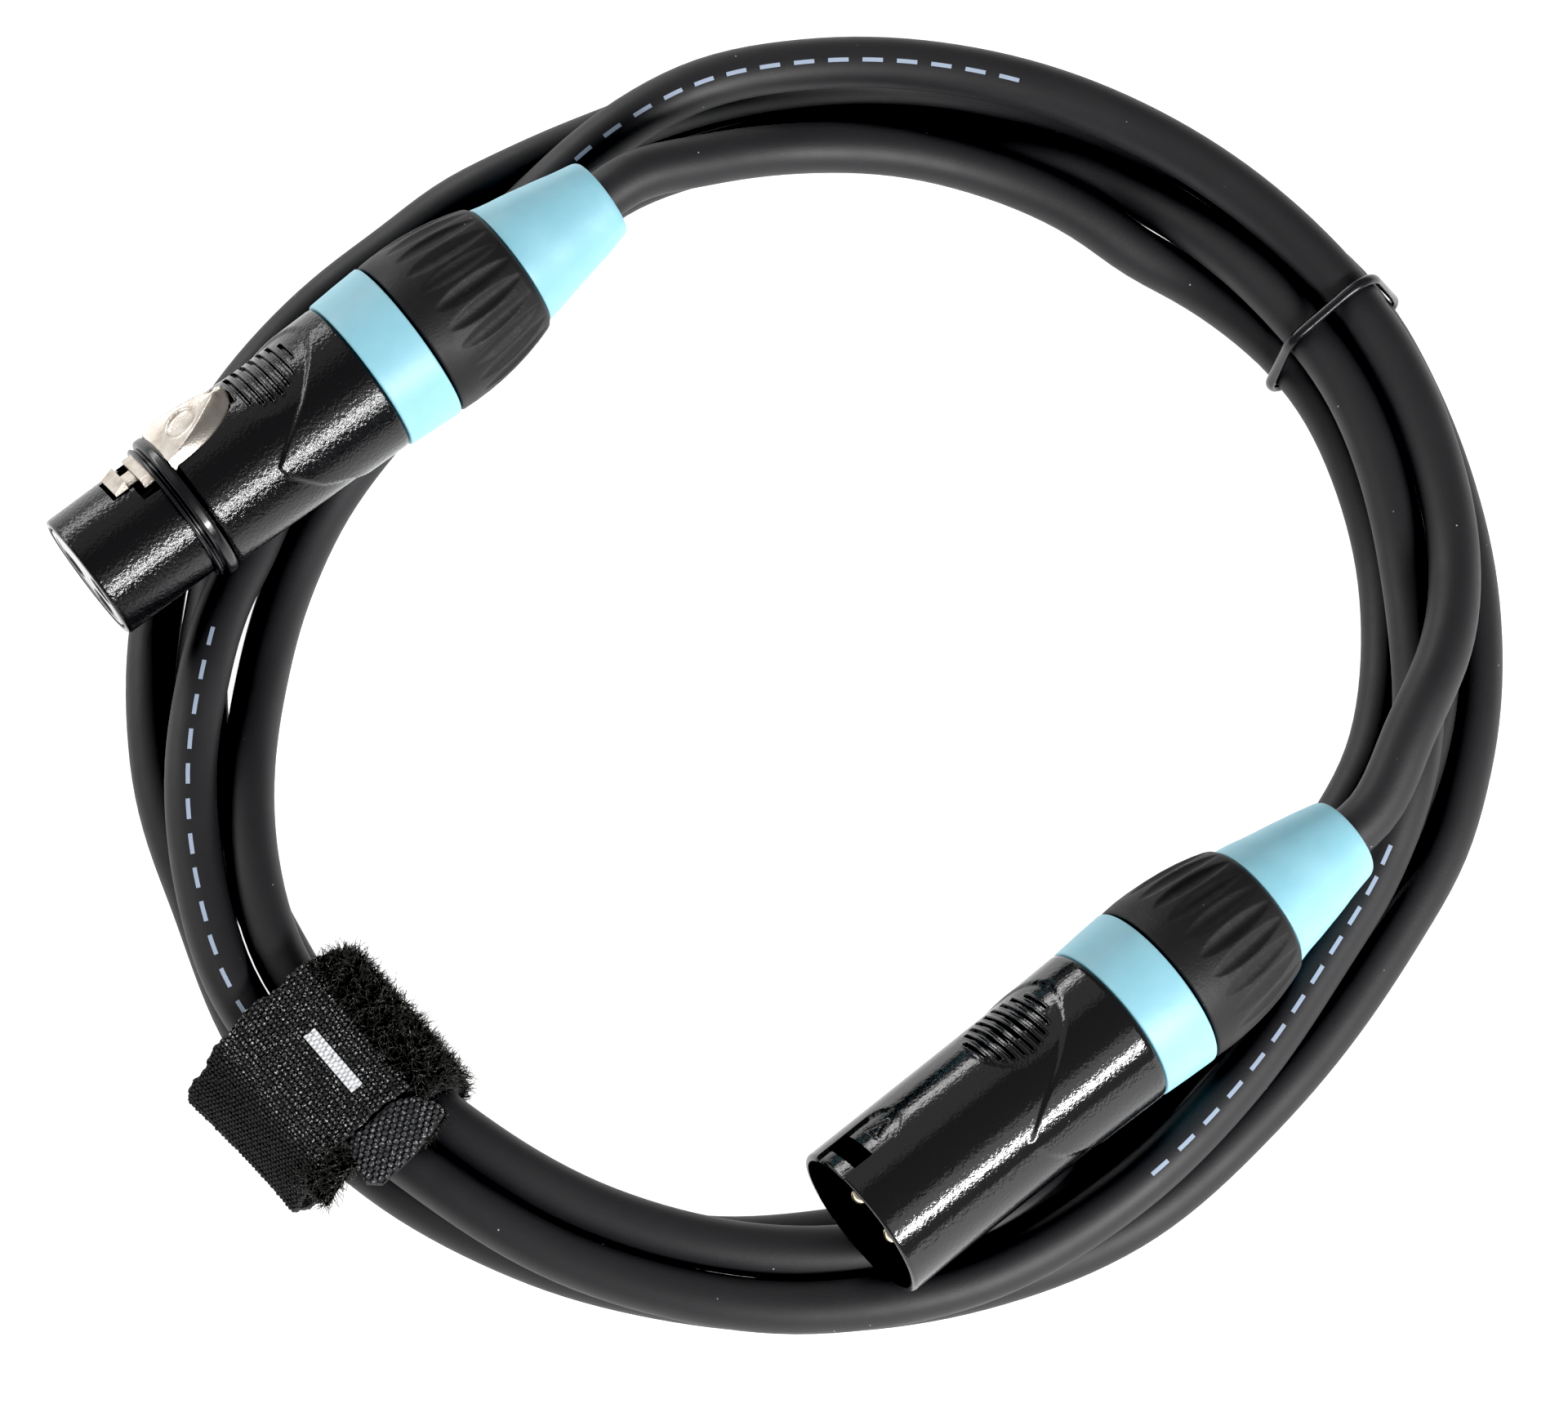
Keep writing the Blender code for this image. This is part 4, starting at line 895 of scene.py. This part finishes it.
# Rear pieces, which both connectors share ------------------------------------------------
def colour_ring(prefix, end, matrix, looks):
    """The coding ring between the shell and the nut."""
    profile = rounded([(end + 0.12, 8.0, 0.2), (end + 7.0, 8.0, 0.2), (end + 7.0, 10.18, 0.3),
                       (end + 3.4, 10.0, 0.0), (end + 0.12, 9.78, 0.3)])
    mesh = rings_mesh(f"{prefix}_colour_ring", turned_rings(profile, even_angles(160)))
    place_object(f"{prefix}_coding_ring", mesh, looks["blue"], "root", matrix,
                 (f"{prefix}_colour_ring",))


def gland_nut(prefix, end, matrix, looks):
    """A barrel with a plain front band and lens-shaped flutes that fade out at both ends."""
    start, back, flutes = end + 7.25, end + 21.3, 24
    outline = np.array(((0.0, 9.75), (0.08, 9.95), (0.2, 10.08), (0.4, 10.12), (2.0, 10.2),
                        (4.0, 10.18), (6.0, 10.06), (8.0, 9.82), (10.0, 9.46), (12.0, 8.96),
                        (13.4, 8.52), (13.85, 8.3), (14.15, 7.95)))
    x = np.concatenate([(0.0, 0.08, 0.2, 0.4), np.linspace(0.7, 13.4, 84),
                        (13.65, 13.85, 14.0, 14.1, 14.15)])
    outer = np.interp(x, *outline.T)
    angles = even_angles(flutes * 16)
    x_grid, turn = np.meshgrid(x, angles, indexing="ij")
    share = np.clip(1 - ((x_grid - 8.2) / 5.4)**2, 0.0, 1.0)
    phase = (turn * flutes / math.tau) % 1.0 - 0.5
    lens = np.clip(1 - (phase / np.maximum(0.43 * share**0.55, 1e-3))**2, 0.0, 1.0)
    radius = outer[:, None] - 0.42 * share * lens**1.2
    inner = rounded([(back, 7.6, 0.1), (back, 5.6, 0.1), (start + 11.0, 5.6, 0.0),
                     (start + 11.0, 7.2, 0.0), (start + 8.5, 8.05, 0.0), (start, 8.05, 0.1)])
    rings = np.concatenate([round_axis(x_grid + start, radius, turn), turned_rings(inner, angles)])
    mesh = rings_mesh(f"{prefix}_gland_nut", rings)
    place_object(f"{prefix}_fluted_nut", mesh, looks["nut"], f"{prefix}_nut_body", matrix,
                 (f"{prefix}_gland_nut",))


def boot(prefix, end, matrix, looks):
    """A soft cone that grips the cable, with a rounded lip and slight dents."""
    tip, bore_r, skin_r = end + BOOT_END, 3.3, 4.4
    profile = [(end + 16.5, bore_r, 0.1), (tip, bore_r, 0.3), (tip, 4.75, 0.3), (end + 34.6, 5.08, 0.3)]
    for share in np.linspace(0.06, 0.97, 16):
        swell = 0.06 * math.sin(share * math.pi)
        profile.append((end + 34.6 - share * 12.9, 5.08 + share * 2.69 + swell, 0.0))
    profile += [(end + 21.6, 7.78, 0.15), (end + 21.6, 5.3, 0.1), (end + 17.7, 5.3, 0.0),
                (end + 17.7, 6.8, 0.2), (end + 16.5, 6.8, 0.2)]
    angles = even_angles(160)
    rings = turned_rings(rounded(profile), angles)
    along = rings[..., 0]
    wave = 1 + 0.004 * np.sin(3 * angles + 900 * along) + 0.003 * np.sin(5 * angles - 1400 * along)
    outside = np.hypot(rings[..., 1], rings[..., 2]) > skin_r * MM
    rings[..., 1:] *= np.where(outside, wave, 1.0)[..., None]
    mesh = rings_mesh(f"{prefix}_boot", rings)
    place_object(f"{prefix}_strain_relief", mesh, looks["blue"], f"{prefix}_boot_body", matrix,
                 (f"{prefix}_boot",))


# Fronts ----------------------------------------------------------------------------------
def pole_rod(profile, pole):
    """A turned rod with this (along, radius) profile, on the axis of one of the three poles."""
    rings = turned_rings(profile, even_angles(32))
    rings[..., 1] += -POLE_CIRCLE_R * math.sin(math.radians(pole)) * MM
    rings[..., 2] += POLE_CIRCLE_R * math.cos(math.radians(pole)) * MM
    return rings_mesh("rod", rings, closed=False)


def female_insert(looks):
    """The insulator with its three countersunk contact holes, cut away under the lever."""
    profile = rounded([(30.6, 0.01, 0.0), (30.6, 6.7, 0.2), (0.05, 6.7, 0.25), (0.05, 5.9, 0.1),
                       (0.14, 5.8, 0.1), (0.14, 0.01, 0.0)])
    mesh = rings_mesh("female_insert", turned_rings(profile, even_angles(128)), closed=False)
    made = place_object("female_insulator", mesh, looks["insert"], "root", FEMALE,
                        ("female_insert",))
    lever_room = prism(mirrored([(5.8, -4.2), (28.4, -2.5)]), 3.4, 9.0)
    hole = ((-0.5, 2.3), (0.14, 1.95), (1.1, 1.3), (2.0, 1.3), (2.0, 2.0), (31.0, 2.0))
    holes = [(pole_rod(hole, pole), "DIFFERENCE") for pole in POLES]
    cut(made, (lever_room, "DIFFERENCE"), *holes)


def male_insert(looks):
    """The insulator at the bottom of the male shell, with a hole for each pin."""
    profile = rounded([(29.7, 0.01, 0.0), (29.7, 8.0, 0.2), (14.5, 8.0, 0.3), (14.5, 0.01, 0.0)])
    mesh = rings_mesh("male_insert", turned_rings(profile, even_angles(128)), closed=False)
    made = place_object("male_insulator", mesh, looks["insert"], "root", MALE,
                        ("male_insert",))
    hole = ((10.0, 1.4), (14.6, 1.4), (31.0, 1.4))
    cut(made, *[(pole_rod(hole, pole), "DIFFERENCE") for pole in POLES])


def male_pins(looks):
    """Straight pins with round noses."""
    tip, pin_r = 1.8, 1.19
    profile = [(tip + pin_r * (1 - math.cos(t)), max(pin_r * math.sin(t), 0.02))
               for t in np.linspace(0.0, math.pi / 2, 10)]
    profile += [(x, pin_r) for x in (14.3, 29.9, 30.1, 32.0)]
    for number, pole in enumerate(POLES, 1):
        place_object(f"male_contact_pin_{number}", pole_rod(profile, pole), looks["contact"],
                     "root", MALE, (f"male_pin_{number}",))


def female_seal(looks):
    """The rubber ring between nose and shell: a thin front lip and a wide crowned band."""
    profile = rounded([(12.2, 7.92, 0.1), (14.75, 7.92, 0.1), (14.75, 8.9, 0.3), (14.35, 9.28, 0.3),
                       (13.35, 9.28, 0.35), (13.05, 8.55, 0.15), (12.85, 8.55, 0.15),
                       (12.6, 8.95, 0.25), (12.2, 8.7, 0.25)], 5)
    mesh = rings_mesh("female_oring", turned_rings(profile, even_angles(192)))
    place_object("female_seal_ring", mesh, looks["rubber"], "root", FEMALE,
                 ("female_oring",))


# Cable -----------------------------------------------------------------------------------
def unit_rows(vectors):
    """The same directions, each of length 1."""
    return vectors / np.linalg.norm(vectors, axis=1)[:, None]


def cable(looks, route):
    """The jacket: a round tube whose rings keep their top as near +Z as the route lets them."""
    ahead = unit_rows(np.gradient(route, axis=0))
    side = unit_rows(np.cross(ahead, (0.0, 0.0, 1.0)))
    up = np.cross(side, ahead)
    turn = even_angles(28)[None, :, None]
    rings = route[:, None] + (np.sin(turn) * side[:, None] + np.cos(turn) * up[:, None]) * CABLE_R
    mesh = rings_mesh("cable", rings, closed=False)
    return place_object("cable_jacket", mesh, looks["jacket"], "root", None,
                        ("cable",))


def dash(line):
    """The rings of one dash: a thin plate, bent round the jacket along this piece of the route."""
    ahead = line[-1] - line[0]
    ahead /= np.linalg.norm(ahead)
    out = np.array(PRINT_FACING) - ahead * np.dot(ahead, PRINT_FACING)
    out /= np.linalg.norm(out)
    side = np.cross(ahead, out)
    turns = (-DASH_HALF_TURN, 0.0, DASH_HALF_TURN)
    section = [(turn, CABLE_R + DASH_PROUD) for turn in turns]
    section += [(turn, CABLE_R - DASH_SUNK) for turn in turns[::-1]]
    return [[spot + (out * math.cos(turn) + side * math.sin(turn)) * reach for turn, reach in section]
            for spot in line]


def printed_marks(looks, route):
    """Plain printed dashes on three stretches of the jacket, where they face up."""
    made = []
    for number, (first, last) in enumerate(PRINT_RUNS, 1):
        name = f"cable_dashes_{number}"
        points, faces = [], []
        for start in np.arange(first, last, (DASH + DASH_GAP) / SAMPLE):
            places = start + np.linspace(0.0, DASH / SAMPLE, 5)
            rings = dash(sampled(route, np.arange(len(route)), places))
            base, rows, sides = len(points), len(rings), len(rings[0])
            points += [tuple(point) for ring in rings for point in ring]
            for row in range(rows - 1):
                for k in range(sides):
                    a, b = base + row * sides + k, base + row * sides + (k + 1) % sides
                    faces.append((a, b, b + sides, a + sides))
            faces.append(tuple(base + k for k in range(sides)))
            faces.append(tuple(base + (rows - 1) * sides + k for k in range(sides)))
        mesh = bpy.data.meshes.new(name)
        mesh.from_pydata(points, [], faces)
        tidy(mesh)
        made.append(place_object(name, mesh, looks["print"], "root", None))
    return made


# Ties ------------------------------------------------------------------------------------
def tie_outline(route, angle, half_width, thick, steps):
    """The tight belt round the bundle at this angle, and the frame that it lies in."""
    theta = math.radians(angle)
    outward = np.array((math.cos(theta), math.sin(theta), 0.0))
    ahead = np.array((-math.sin(theta), math.cos(theta), 0.0))
    centre = np.array(COIL_MIDDLE)
    offset = route - centre
    under = (np.abs(offset @ ahead) < half_width) & (offset @ outward > 0)
    seen = np.stack([offset[under] @ outward, offset[under, 2]], axis=1)
    outline = []
    for k in range(steps):
        way = math.tau * k / steps
        towards = np.array((math.cos(way), math.sin(way)))
        spot = seen[np.argmax(seen @ towards)] + (CABLE_R + TIE_GAP * 0.5) * towards
        outline.append((spot[0], max(spot[1], thick)))
    return np.array(outline), centre, outward, ahead


def even_loop(outline, count):
    """A closed outline in even steps."""
    loop = np.vstack([outline, outline[:1]])
    along = distance_along(loop)
    return sampled(loop, along, np.linspace(0.0, along[-1], count, endpoint=False))


def loop_normals(loop):
    """The outward normals of a closed flat loop."""
    tangent = unit_rows(np.roll(loop, -1, axis=0) - np.roll(loop, 1, axis=0))
    return np.stack([tangent[:, 1], -tangent[:, 0]], axis=1)


def bundle_ring(looks, route):
    """The rubber band round the bundle, flattened where it lies on the ground."""
    outline, centre, outward, ahead = tie_outline(route, RING_ANGLE, 2.2 * MM, RING_THICK, 240)
    loop = even_loop(outline, 160)
    normal = loop_normals(loop)
    up = np.array((0.0, 0.0, 1.0))
    rings = []
    for turn in even_angles(14):
        out = (0.5 + 0.5 * math.cos(turn)) * RING_THICK
        aside = math.sin(turn) * RING_WIDTH / 2
        spot = loop + normal * out
        spot[:, 1] = np.maximum(spot[:, 1], 0.02 * MM)
        rings.append(centre + outward * spot[:, :1] + ahead * aside + up * spot[:, 1:])
    place_object("bundle_rubber_ring", rings_mesh("bundle_ring", np.array(rings)), looks["rubber"],
                 "root", None, ("bundle_ring",))


# Strap -----------------------------------------------------------------------------------
def strap_frame():
    """Its own frame: X away from the coil's middle, Y along the coil, Z up."""
    turn = Matrix.Rotation(math.radians(STRAP_ANGLE), 4, "Z")
    return Matrix.Translation(Vector(COIL_MIDDLE)) @ turn


def weave(u, v, tufts, pitch_u, pitch_v):
    """How far staggered rows of small yarn loops stand out at (u, v) on the cloth, 0 to 1."""
    row = np.floor(v / pitch_v)
    place = u / pitch_u + 0.5 * (row % 2)
    column = np.floor(place)
    across = place % 1.0 - 0.5
    along = (v / pitch_v) % 1.0 - 0.5
    lift = tufts[row.astype(int) % tufts.shape[0], column.astype(int) % tufts.shape[1]]
    return lift * np.sqrt(np.clip(1 - 3.9 * across**2 - 3.6 * along**2, 0.0, 1.0))


def strap_loop(step):
    """The strap's middle line in millimetres, and its outward normals."""
    stations = np.array(STRAP_LOOP + STRAP_LOOP[:1])
    loop = even_curve(stations, step)[:-1]
    return loop, loop_normals(loop)


def fibres(name, roots, normals, random, length=1.6, radius=0.06):
    """One mesh of short curled yarn ends that stand on these roots, in millimetres."""
    count, rings, sides = len(roots), 7, 3
    first = unit_rows(normals + random.normal(0.0, 0.55, (count, 3)))
    curl = unit_rows(np.cross(first, random.normal(0.0, 1.0, (count, 3))))
    reach = length * random.uniform(0.5, 1.25, count)
    curve = random.uniform(0.3, 1.2, count)
    side = np.cross(first, curl)
    points = np.empty((count, rings, sides, 3))
    for k in range(rings):
        share = k / (rings - 1)
        bend = share**1.6 * curve
        middle = roots + first * (reach * share * (1 - 0.45 * bend))[:, None]
        middle += curl * (reach * bend)[:, None]
        for i in range(sides):
            turn = math.tau * i / sides
            out = curl * math.cos(turn) + side * math.sin(turn)
            points[:, k, i] = middle + out * radius * (1 - 0.5 * share)
    points[..., 2] = np.maximum(points[..., 2], radius)
    base = np.arange(count)[:, None] * rings * sides
    ring = base[..., None] + np.arange(rings - 1)[None, :, None] * sides
    here = np.arange(sides)[None, None]
    there = (here + 1) % sides
    quads = np.stack([ring + here, ring + there, ring + sides + there, ring + sides + here], axis=-1)
    tips = base + (rings - 1) * sides + np.arange(sides)
    feet = base + np.arange(sides)[::-1]
    faces = quads.reshape(-1, 4).tolist() + tips.tolist() + feet.tolist()
    mesh = bpy.data.meshes.new(name)
    mesh.from_pydata((points.reshape(-1, 3) * MM).tolist(), [], faces)
    # A relief value that rises from root to tip: painted shade at the fibres' roots and a painted
    # highlight towards their tips.
    rise = np.linspace(0.1, 1.0, rings)[None, :, None] * random.uniform(0.2, 1.0, count)[:, None, None]
    mark_relief(mesh, np.repeat(rise, sides, axis=2))
    mesh.shade_smooth()
    return mesh


def strap_band(looks, random):
    """The woven layer: a closed loop with a face of yarn loops."""
    step, half = 0.1, STRAP_WIDTH / MM / 2
    loop, normal = strap_loop(step)
    across = np.linspace(-half, half, 186)
    tufts = 0.55 + 0.45 * random.random((160, 64))
    u = np.repeat(across[None], len(loop), axis=0)
    v = np.repeat((np.arange(len(loop)) * step)[:, None], len(across), axis=1)
    edge = 0.22 * np.sin(v[:, 0] * 0.9) + 0.1 * np.sin(v[:, 0] * 3.1)
    wavy_u = u * (1 + (edge / half)[:, None] * np.abs(u) / half)
    slack = 0.18 * np.sin(v * 0.31 + 0.4) * np.sin(u * 0.27 + 1.0)
    loops = weave(u, v, tufts, 0.55, 0.6)
    height = 0.42 + 0.36 * loops + slack
    height -= 0.35 * np.clip((np.abs(u) / half - 0.97) / 0.03, 0.0, 1.0)
    middle = 72.0
    narrow = 1 - 0.05 * u / (2 * half) * ramp_up(loop[:, 0], 78.0, 84.0)[:, None]
    outer = np.empty((len(loop), len(across), 3))
    outer[..., 0] = (loop[:, 0, None] + normal[:, 0, None] * height - middle) * narrow + middle
    outer[..., 1] = wavy_u
    outer[..., 2] = np.maximum(loop[:, 1, None] + normal[:, 1, None] * height, 0.03)
    back = loop - normal * 0.55
    inner = np.empty((len(loop), 2, 3))
    inner[..., 0] = back[:, :1]
    inner[..., 1] = (half - 0.1, -half + 0.1)
    inner[..., 2] = back[:, 1:]
    # The fold that faces outwards gets a lower relief value: painted shade on that side, with fewer
    # painted glints.
    relief = np.concatenate([loops * (1 - 0.6 * ramp_up(loop[:, :1], 78.0, 80.5)),
                             np.zeros(inner.shape[:2])], axis=1)
    rings = np.concatenate([outer, inner], axis=1)
    mesh = rings_mesh("strap_band", rings * MM, CLOTH_EDGE, relief=relief)
    place_object("strap_woven_band", mesh, looks["strap"], "root", strap_frame(),
                 ("hook_loop_strap",))


def pile_slab(loop, normal, keep, low, high, lift, random):
    """A lumpy strip over part of the loop, and the roots and normals of its fibres."""
    line, out = loop[keep], normal[keep]
    across = np.linspace(low, high, 46)
    u = np.repeat(across[None], len(line), axis=0)
    v = np.repeat(np.linspace(0.0, 1.0, len(line))[:, None], len(across), axis=1)
    ends = np.clip(np.minimum(v, 1 - v) * 7.0, 0.0, 1.0)
    ends *= np.clip(np.minimum(u - low, high - u) / 0.7, 0.0, 1.0)
    lumps = np.zeros_like(u)
    for _ in range(9):
        a, b, c = random.uniform(0.4, 2.2), random.uniform(6.0, 40.0), random.uniform(0.0, 6.0)
        lumps += 0.055 * np.sin(a * u + b * v + c)
    height = 0.1 + (lift + lumps) * np.sqrt(ends)
    top = np.empty((*u.shape, 3))
    top[..., 0] = line[:, 0, None] + out[:, 0, None] * height
    top[..., 1] = u
    top[..., 2] = np.maximum(line[:, 1, None] + out[:, 1, None] * height, 0.05)
    bottom = top.copy()
    bottom[..., 0] = line[:, 0, None] - out[:, 0, None] * 0.3
    bottom[..., 2] = np.maximum(line[:, 1, None] - out[:, 1, None] * 0.3, 0.02)
    rings = np.concatenate([top, bottom[:, ::-1]], axis=1)
    normals = np.zeros_like(top)
    normals[..., 0] = out[:, 0, None]
    normals[..., 2] = out[:, 1, None]
    return rings, top, normals


def scattered(top, normals, count, random):
    """Random places on a grid surface, with the normals there."""
    row = random.random(count) * (top.shape[0] - 1.001)
    column = random.random(count) * (top.shape[1] - 1.001)
    i, j = row.astype(int), column.astype(int)
    s, t = (row - i)[:, None], (column - j)[:, None]
    place = ((1 - s) * (1 - t) * top[i, j] + s * (1 - t) * top[i + 1, j]
             + (1 - s) * t * top[i, j + 1] + s * t * top[i + 1, j + 1])
    rim = np.clip((column / (top.shape[1] - 1) - 0.5) * 2, -1, 1)[:, None] ** 7
    return place, normals[i, j] + np.array((0.0, 1.6, 0.0)) * rim


def strap_pile(looks, random):
    """The looped pile of the layer beneath: down the inner side, and past the lower edge."""
    loop, normal = strap_loop(0.4)
    inside = (loop[:, 0] < 67.2) & (loop[:, 1] > 1.6)
    outside = (loop[:, 0] > 76.4) & (loop[:, 0] < 81.6) & (loop[:, 1] > 5.0)
    # (which part of the loop, from and to across the strap, how thick, how many fibres)
    pads = ((inside, -8.6, 11.6, 1.35, 4600), (outside, 8.2, 12.2, -0.15, 1000))
    roots, normals = [], []
    for number, (keep, low, high, lift, hairs) in enumerate(pads, 1):
        rings, top, out = pile_slab(loop, normal, keep, low, high, lift, random)
        mesh = rings_mesh(f"pile_{number}", rings * MM, CLOTH_EDGE, closed=False)
        place_object(f"strap_pile_base_{number}", mesh, looks["pile"], "root", strap_frame())
        place, way = scattered(top, out, hairs, random)
        roots.append(place)
        normals.append(way)
    mesh = fibres("pile", np.concatenate(roots), np.concatenate(normals), random)
    place_object("strap_pile_fibres", mesh, looks["pile"], "root", strap_frame())


def strap_tail(looks, random):
    """The free end: a tab that widens from the band and lies on the cable, with frayed edges."""
    stations = np.array((0.0, 0.2, 0.5, 0.8, 1.0))
    left = np.array(((75.8, 8.2), (75.5, 9.1), (76.9, 12.3), (77.2, 14.4), (75.9, 15.7)))
    right = np.array(((70.2, 8.2), (69.6, 9.0), (66.3, 10.8), (65.3, 13.3), (65.7, 14.1)))
    s = np.linspace(0.0, 1.0, 84)
    t = np.linspace(0.0, 1.0, 112)
    a, b = sampled(left, stations, s), sampled(right, stations, s)
    flat = a[:, None] * (1 - t)[None, :, None] + b[:, None] * t[None, :, None]
    flat[..., 1] += 0.55 * (s * s)[:, None] * np.sin(t * math.pi)[None]
    x, y = flat[..., 0], flat[..., 1]
    tufts = 0.6 + 0.4 * random.random((64, 64))
    sag = 0.9 * ramp_up(x, 74.0, 77.6) + 0.35 * ramp_up(y, 12.0, 16.0)
    sag += 0.3 * ramp_up(-x, -67.5, -65.0) + 1.3 * (1 - ramp_up(s, 0.0, 0.3))[:, None]
    loops = weave(x * 0.8 + y * 0.6, y * 0.8 - x * 0.6, tufts, 0.66, 0.7)
    loops *= ramp_up(y, 9.0, 10.2)
    top = 15.75 - sag + 0.34 * loops
    edge = np.minimum(np.minimum(t, 1 - t)[None] * 8.0, (1 - s)[:, None] * 5.0)
    top -= 0.3 * (1 - np.clip(edge * 3.0, 0.0, 1.0))
    bottom = 14.95 - sag
    upper = np.stack([x, y, top], axis=-1)
    lower = np.stack([x, y, bottom], axis=-1)
    rings = np.concatenate([upper, lower[:, ::-1]], axis=1)
    # The loops' relief sets painted shade between the loops and a painted highlight on their crowns;
    # the loops and this light fade out towards the band's edge.
    relief = np.concatenate([loops, np.zeros_like(loops)], axis=1)
    mesh = rings_mesh("strap_tail", rings * MM, CLOTH_EDGE, closed=False, relief=relief)
    place_object("strap_free_tail", mesh, looks["strap_tail"], "root", strap_frame())
    under = np.stack([x, y, bottom - 0.1], axis=-1)[40:, 60:]
    way = np.zeros_like(under) + (-0.9, 0.7, -0.3)
    place, normals = scattered(under, way, 700, random)
    mesh = fibres("tail_pile", place, normals, random, 1.1)
    place_object("strap_tail_pile", mesh, looks["pile"], "root", strap_frame())


def strap(looks):
    """The hook-and-loop strap's pieces, whose random draws come in this order."""
    random = np.random.default_rng(7)
    strap_band(looks, random)
    strap_pile(looks, random)
    strap_tail(looks, random)


# Floor and light -------------------------------------------------------------------------
FLOOR_HALF, FLOOR_GLOW = 3.0, 0.96
WORLD_GLOW = 0.3
BLACK_LEVEL = 0.013


def make_stage():
    """A white floor that gives off nearly all of its own brightness."""
    mesh = bpy.data.meshes.new("floor")
    corners = [(x, y, 0) for x, y in oblong(-FLOOR_HALF, FLOOR_HALF, FLOOR_HALF)]
    mesh.from_pydata(corners, [], [(0, 1, 2, 3)])
    look = Look("floor_paper", (0.5, 0.5, 0.5), 0.95)
    look.set("Specular IOR Level", 0.1)
    look.set("Emission Color", (1.0, 1.0, 1.0, 1.0))
    look.set("Emission Strength", FLOOR_GLOW)
    mesh.materials.append(look.material)
    floor = added("floor", mesh)


def area_light(name, place, size, power):
    """A rectangular light that faces the origin."""
    data = bpy.data.lights.new(name, "AREA")
    data.shape = "RECTANGLE"
    data.size, data.size_y = size
    data.energy = power
    lamp = added(name, data)
    lamp.location = place
    lamp.rotation_euler = (-Vector(place)).to_track_quat("-Z", "Y").to_euler()


def make_lights():
    """A strip and a dimmer panel at the lower right, and a strip and a wide fill opposite them."""
    world = bpy.data.worlds.new("studio")
    world.use_nodes = True
    background = world.node_tree.nodes["Background"]
    background.inputs["Color"].default_value = (1.0, 1.0, 1.0, 1.0)
    background.inputs["Strength"].default_value = WORLD_GLOW
    bpy.context.scene.world = world
    area_light("front_strip", (0.56, -0.72, 0.55), (0.85, 0.075), 18.0)
    area_light("front_panel", (0.50, -0.62, 0.80), (1.0, 0.4), 1.8)
    area_light("back_strip", (-0.72, 0.62, 0.34), (1.1, 0.2), 6.0)
    area_light("back_fill", (-0.62, 0.55, 0.75), (1.2, 1.2), 2.0)


def make_view():
    """A plain transfer curve whose darkest tones are cut to black, as in the photograph."""
    view = bpy.context.scene.view_settings
    view.view_transform = "Standard"
    view.use_curve_mapping = True
    view.curve_mapping.black_level = (BLACK_LEVEL, BLACK_LEVEL, BLACK_LEVEL)


# Assembly --------------------------------------------------------------------------------
def carried_over(looks):
    """CAD nodes whose own shape is right get a finished material."""
    keep = {"latch_pin": "steel", "latch_spring": "steel"}
    for prefix in ("female", "male"):
        keep[f"{prefix}_chuck"] = "chuck"
        for number, core in enumerate(("core_black", "core_red", "core_white"), 1):
            keep[f"{prefix}_core_{number}"] = core
    for number in (1, 2, 3):
        keep[f"female_contact_{number}"] = "contact"
    for name, look in keep.items():
        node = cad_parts[name]
        node.data.materials.clear()
        node.data.materials.append(looks[look])


def make_looks():
    """Every material, by the short name that the pieces ask for."""
    return {
        "jacket": jacket_look(),
        "female_shell": shell_look("female_shell_paint", 0.00006, 0.085, 0.38, 7.1),
        "male_shell": shell_look("male_shell_paint", 0.000028, 0.1, 0.5, 8.7),
        "nut": nut_look(),
        # Strap looks: the cloth's colour, a lighter crown colour that is a painted highlight on the
        # yarn loops, and the colour of the painted glints.
        "strap": strap_look("strap_weave_look", (0.002, 0.002, 0.002), (0.016, 0.016, 0.017),
                            (0.75, 0.75, 0.78), True),
        "strap_tail": strap_look("strap_tail_look", (0.004, 0.004, 0.004), (0.035, 0.036, 0.04),
                                 (0.55, 0.55, 0.57)),
        "pile": strap_look("strap_pile_look", (0.002, 0.002, 0.002), (0.035, 0.035, 0.030),
                           (0.60, 0.60, 0.52)),
        "blue": blue_look(),
        "rubber": rubber_look(),
        "nickel": nickel_look(),
        "steel": metal_look("spring_steel_look", (0.55, 0.55, 0.56), 0.25, 900.0),
        "contact": metal_look("contact_metal_look", (0.86, 0.76, 0.58), 0.2, 1200.0),
        "insert": plastic_look("insulator_look", (0.05, 0.05, 0.05), 0.12, 0.000003),
        "print": plastic_look("print_look", (0.30, 0.36, 0.46), 0.5),
        "chuck": plastic_look("chuck_look", (0.6, 0.6, 0.57), 0.45),
        "core_black": plastic_look("core_black_look", (0.02, 0.02, 0.02), 0.4),
        "core_red": plastic_look("core_red_look", (0.5, 0.03, 0.02), 0.4),
        "core_white": plastic_look("core_white_look", (0.75, 0.75, 0.72), 0.4),
    }


def main():
    """The whole scene: camera, materials, pieces, floor and light."""
    make_camera()
    route = cable_route()
    looks = make_looks()
    made = cable(looks, route)
    printed_marks(looks, route)
    for prefix, end, matrix in (("female", FEMALE_SHELL_END, FEMALE), ("male", MALE_SHELL_END, MALE)):
        colour_ring(prefix, end, matrix, looks)
        gland_nut(prefix, end, matrix, looks)
        boot(prefix, end, matrix, looks)
    female_shell(looks)
    female_insert(looks)
    female_seal(looks)
    thumb_lever(looks)
    latch_hook(looks)
    male_shell(looks)
    male_insert(looks)
    male_pins(looks)
    bundle_ring(looks, route)
    strap(looks)
    carried_over(looks)
    make_stage()
    make_lights()
    make_view()


main()
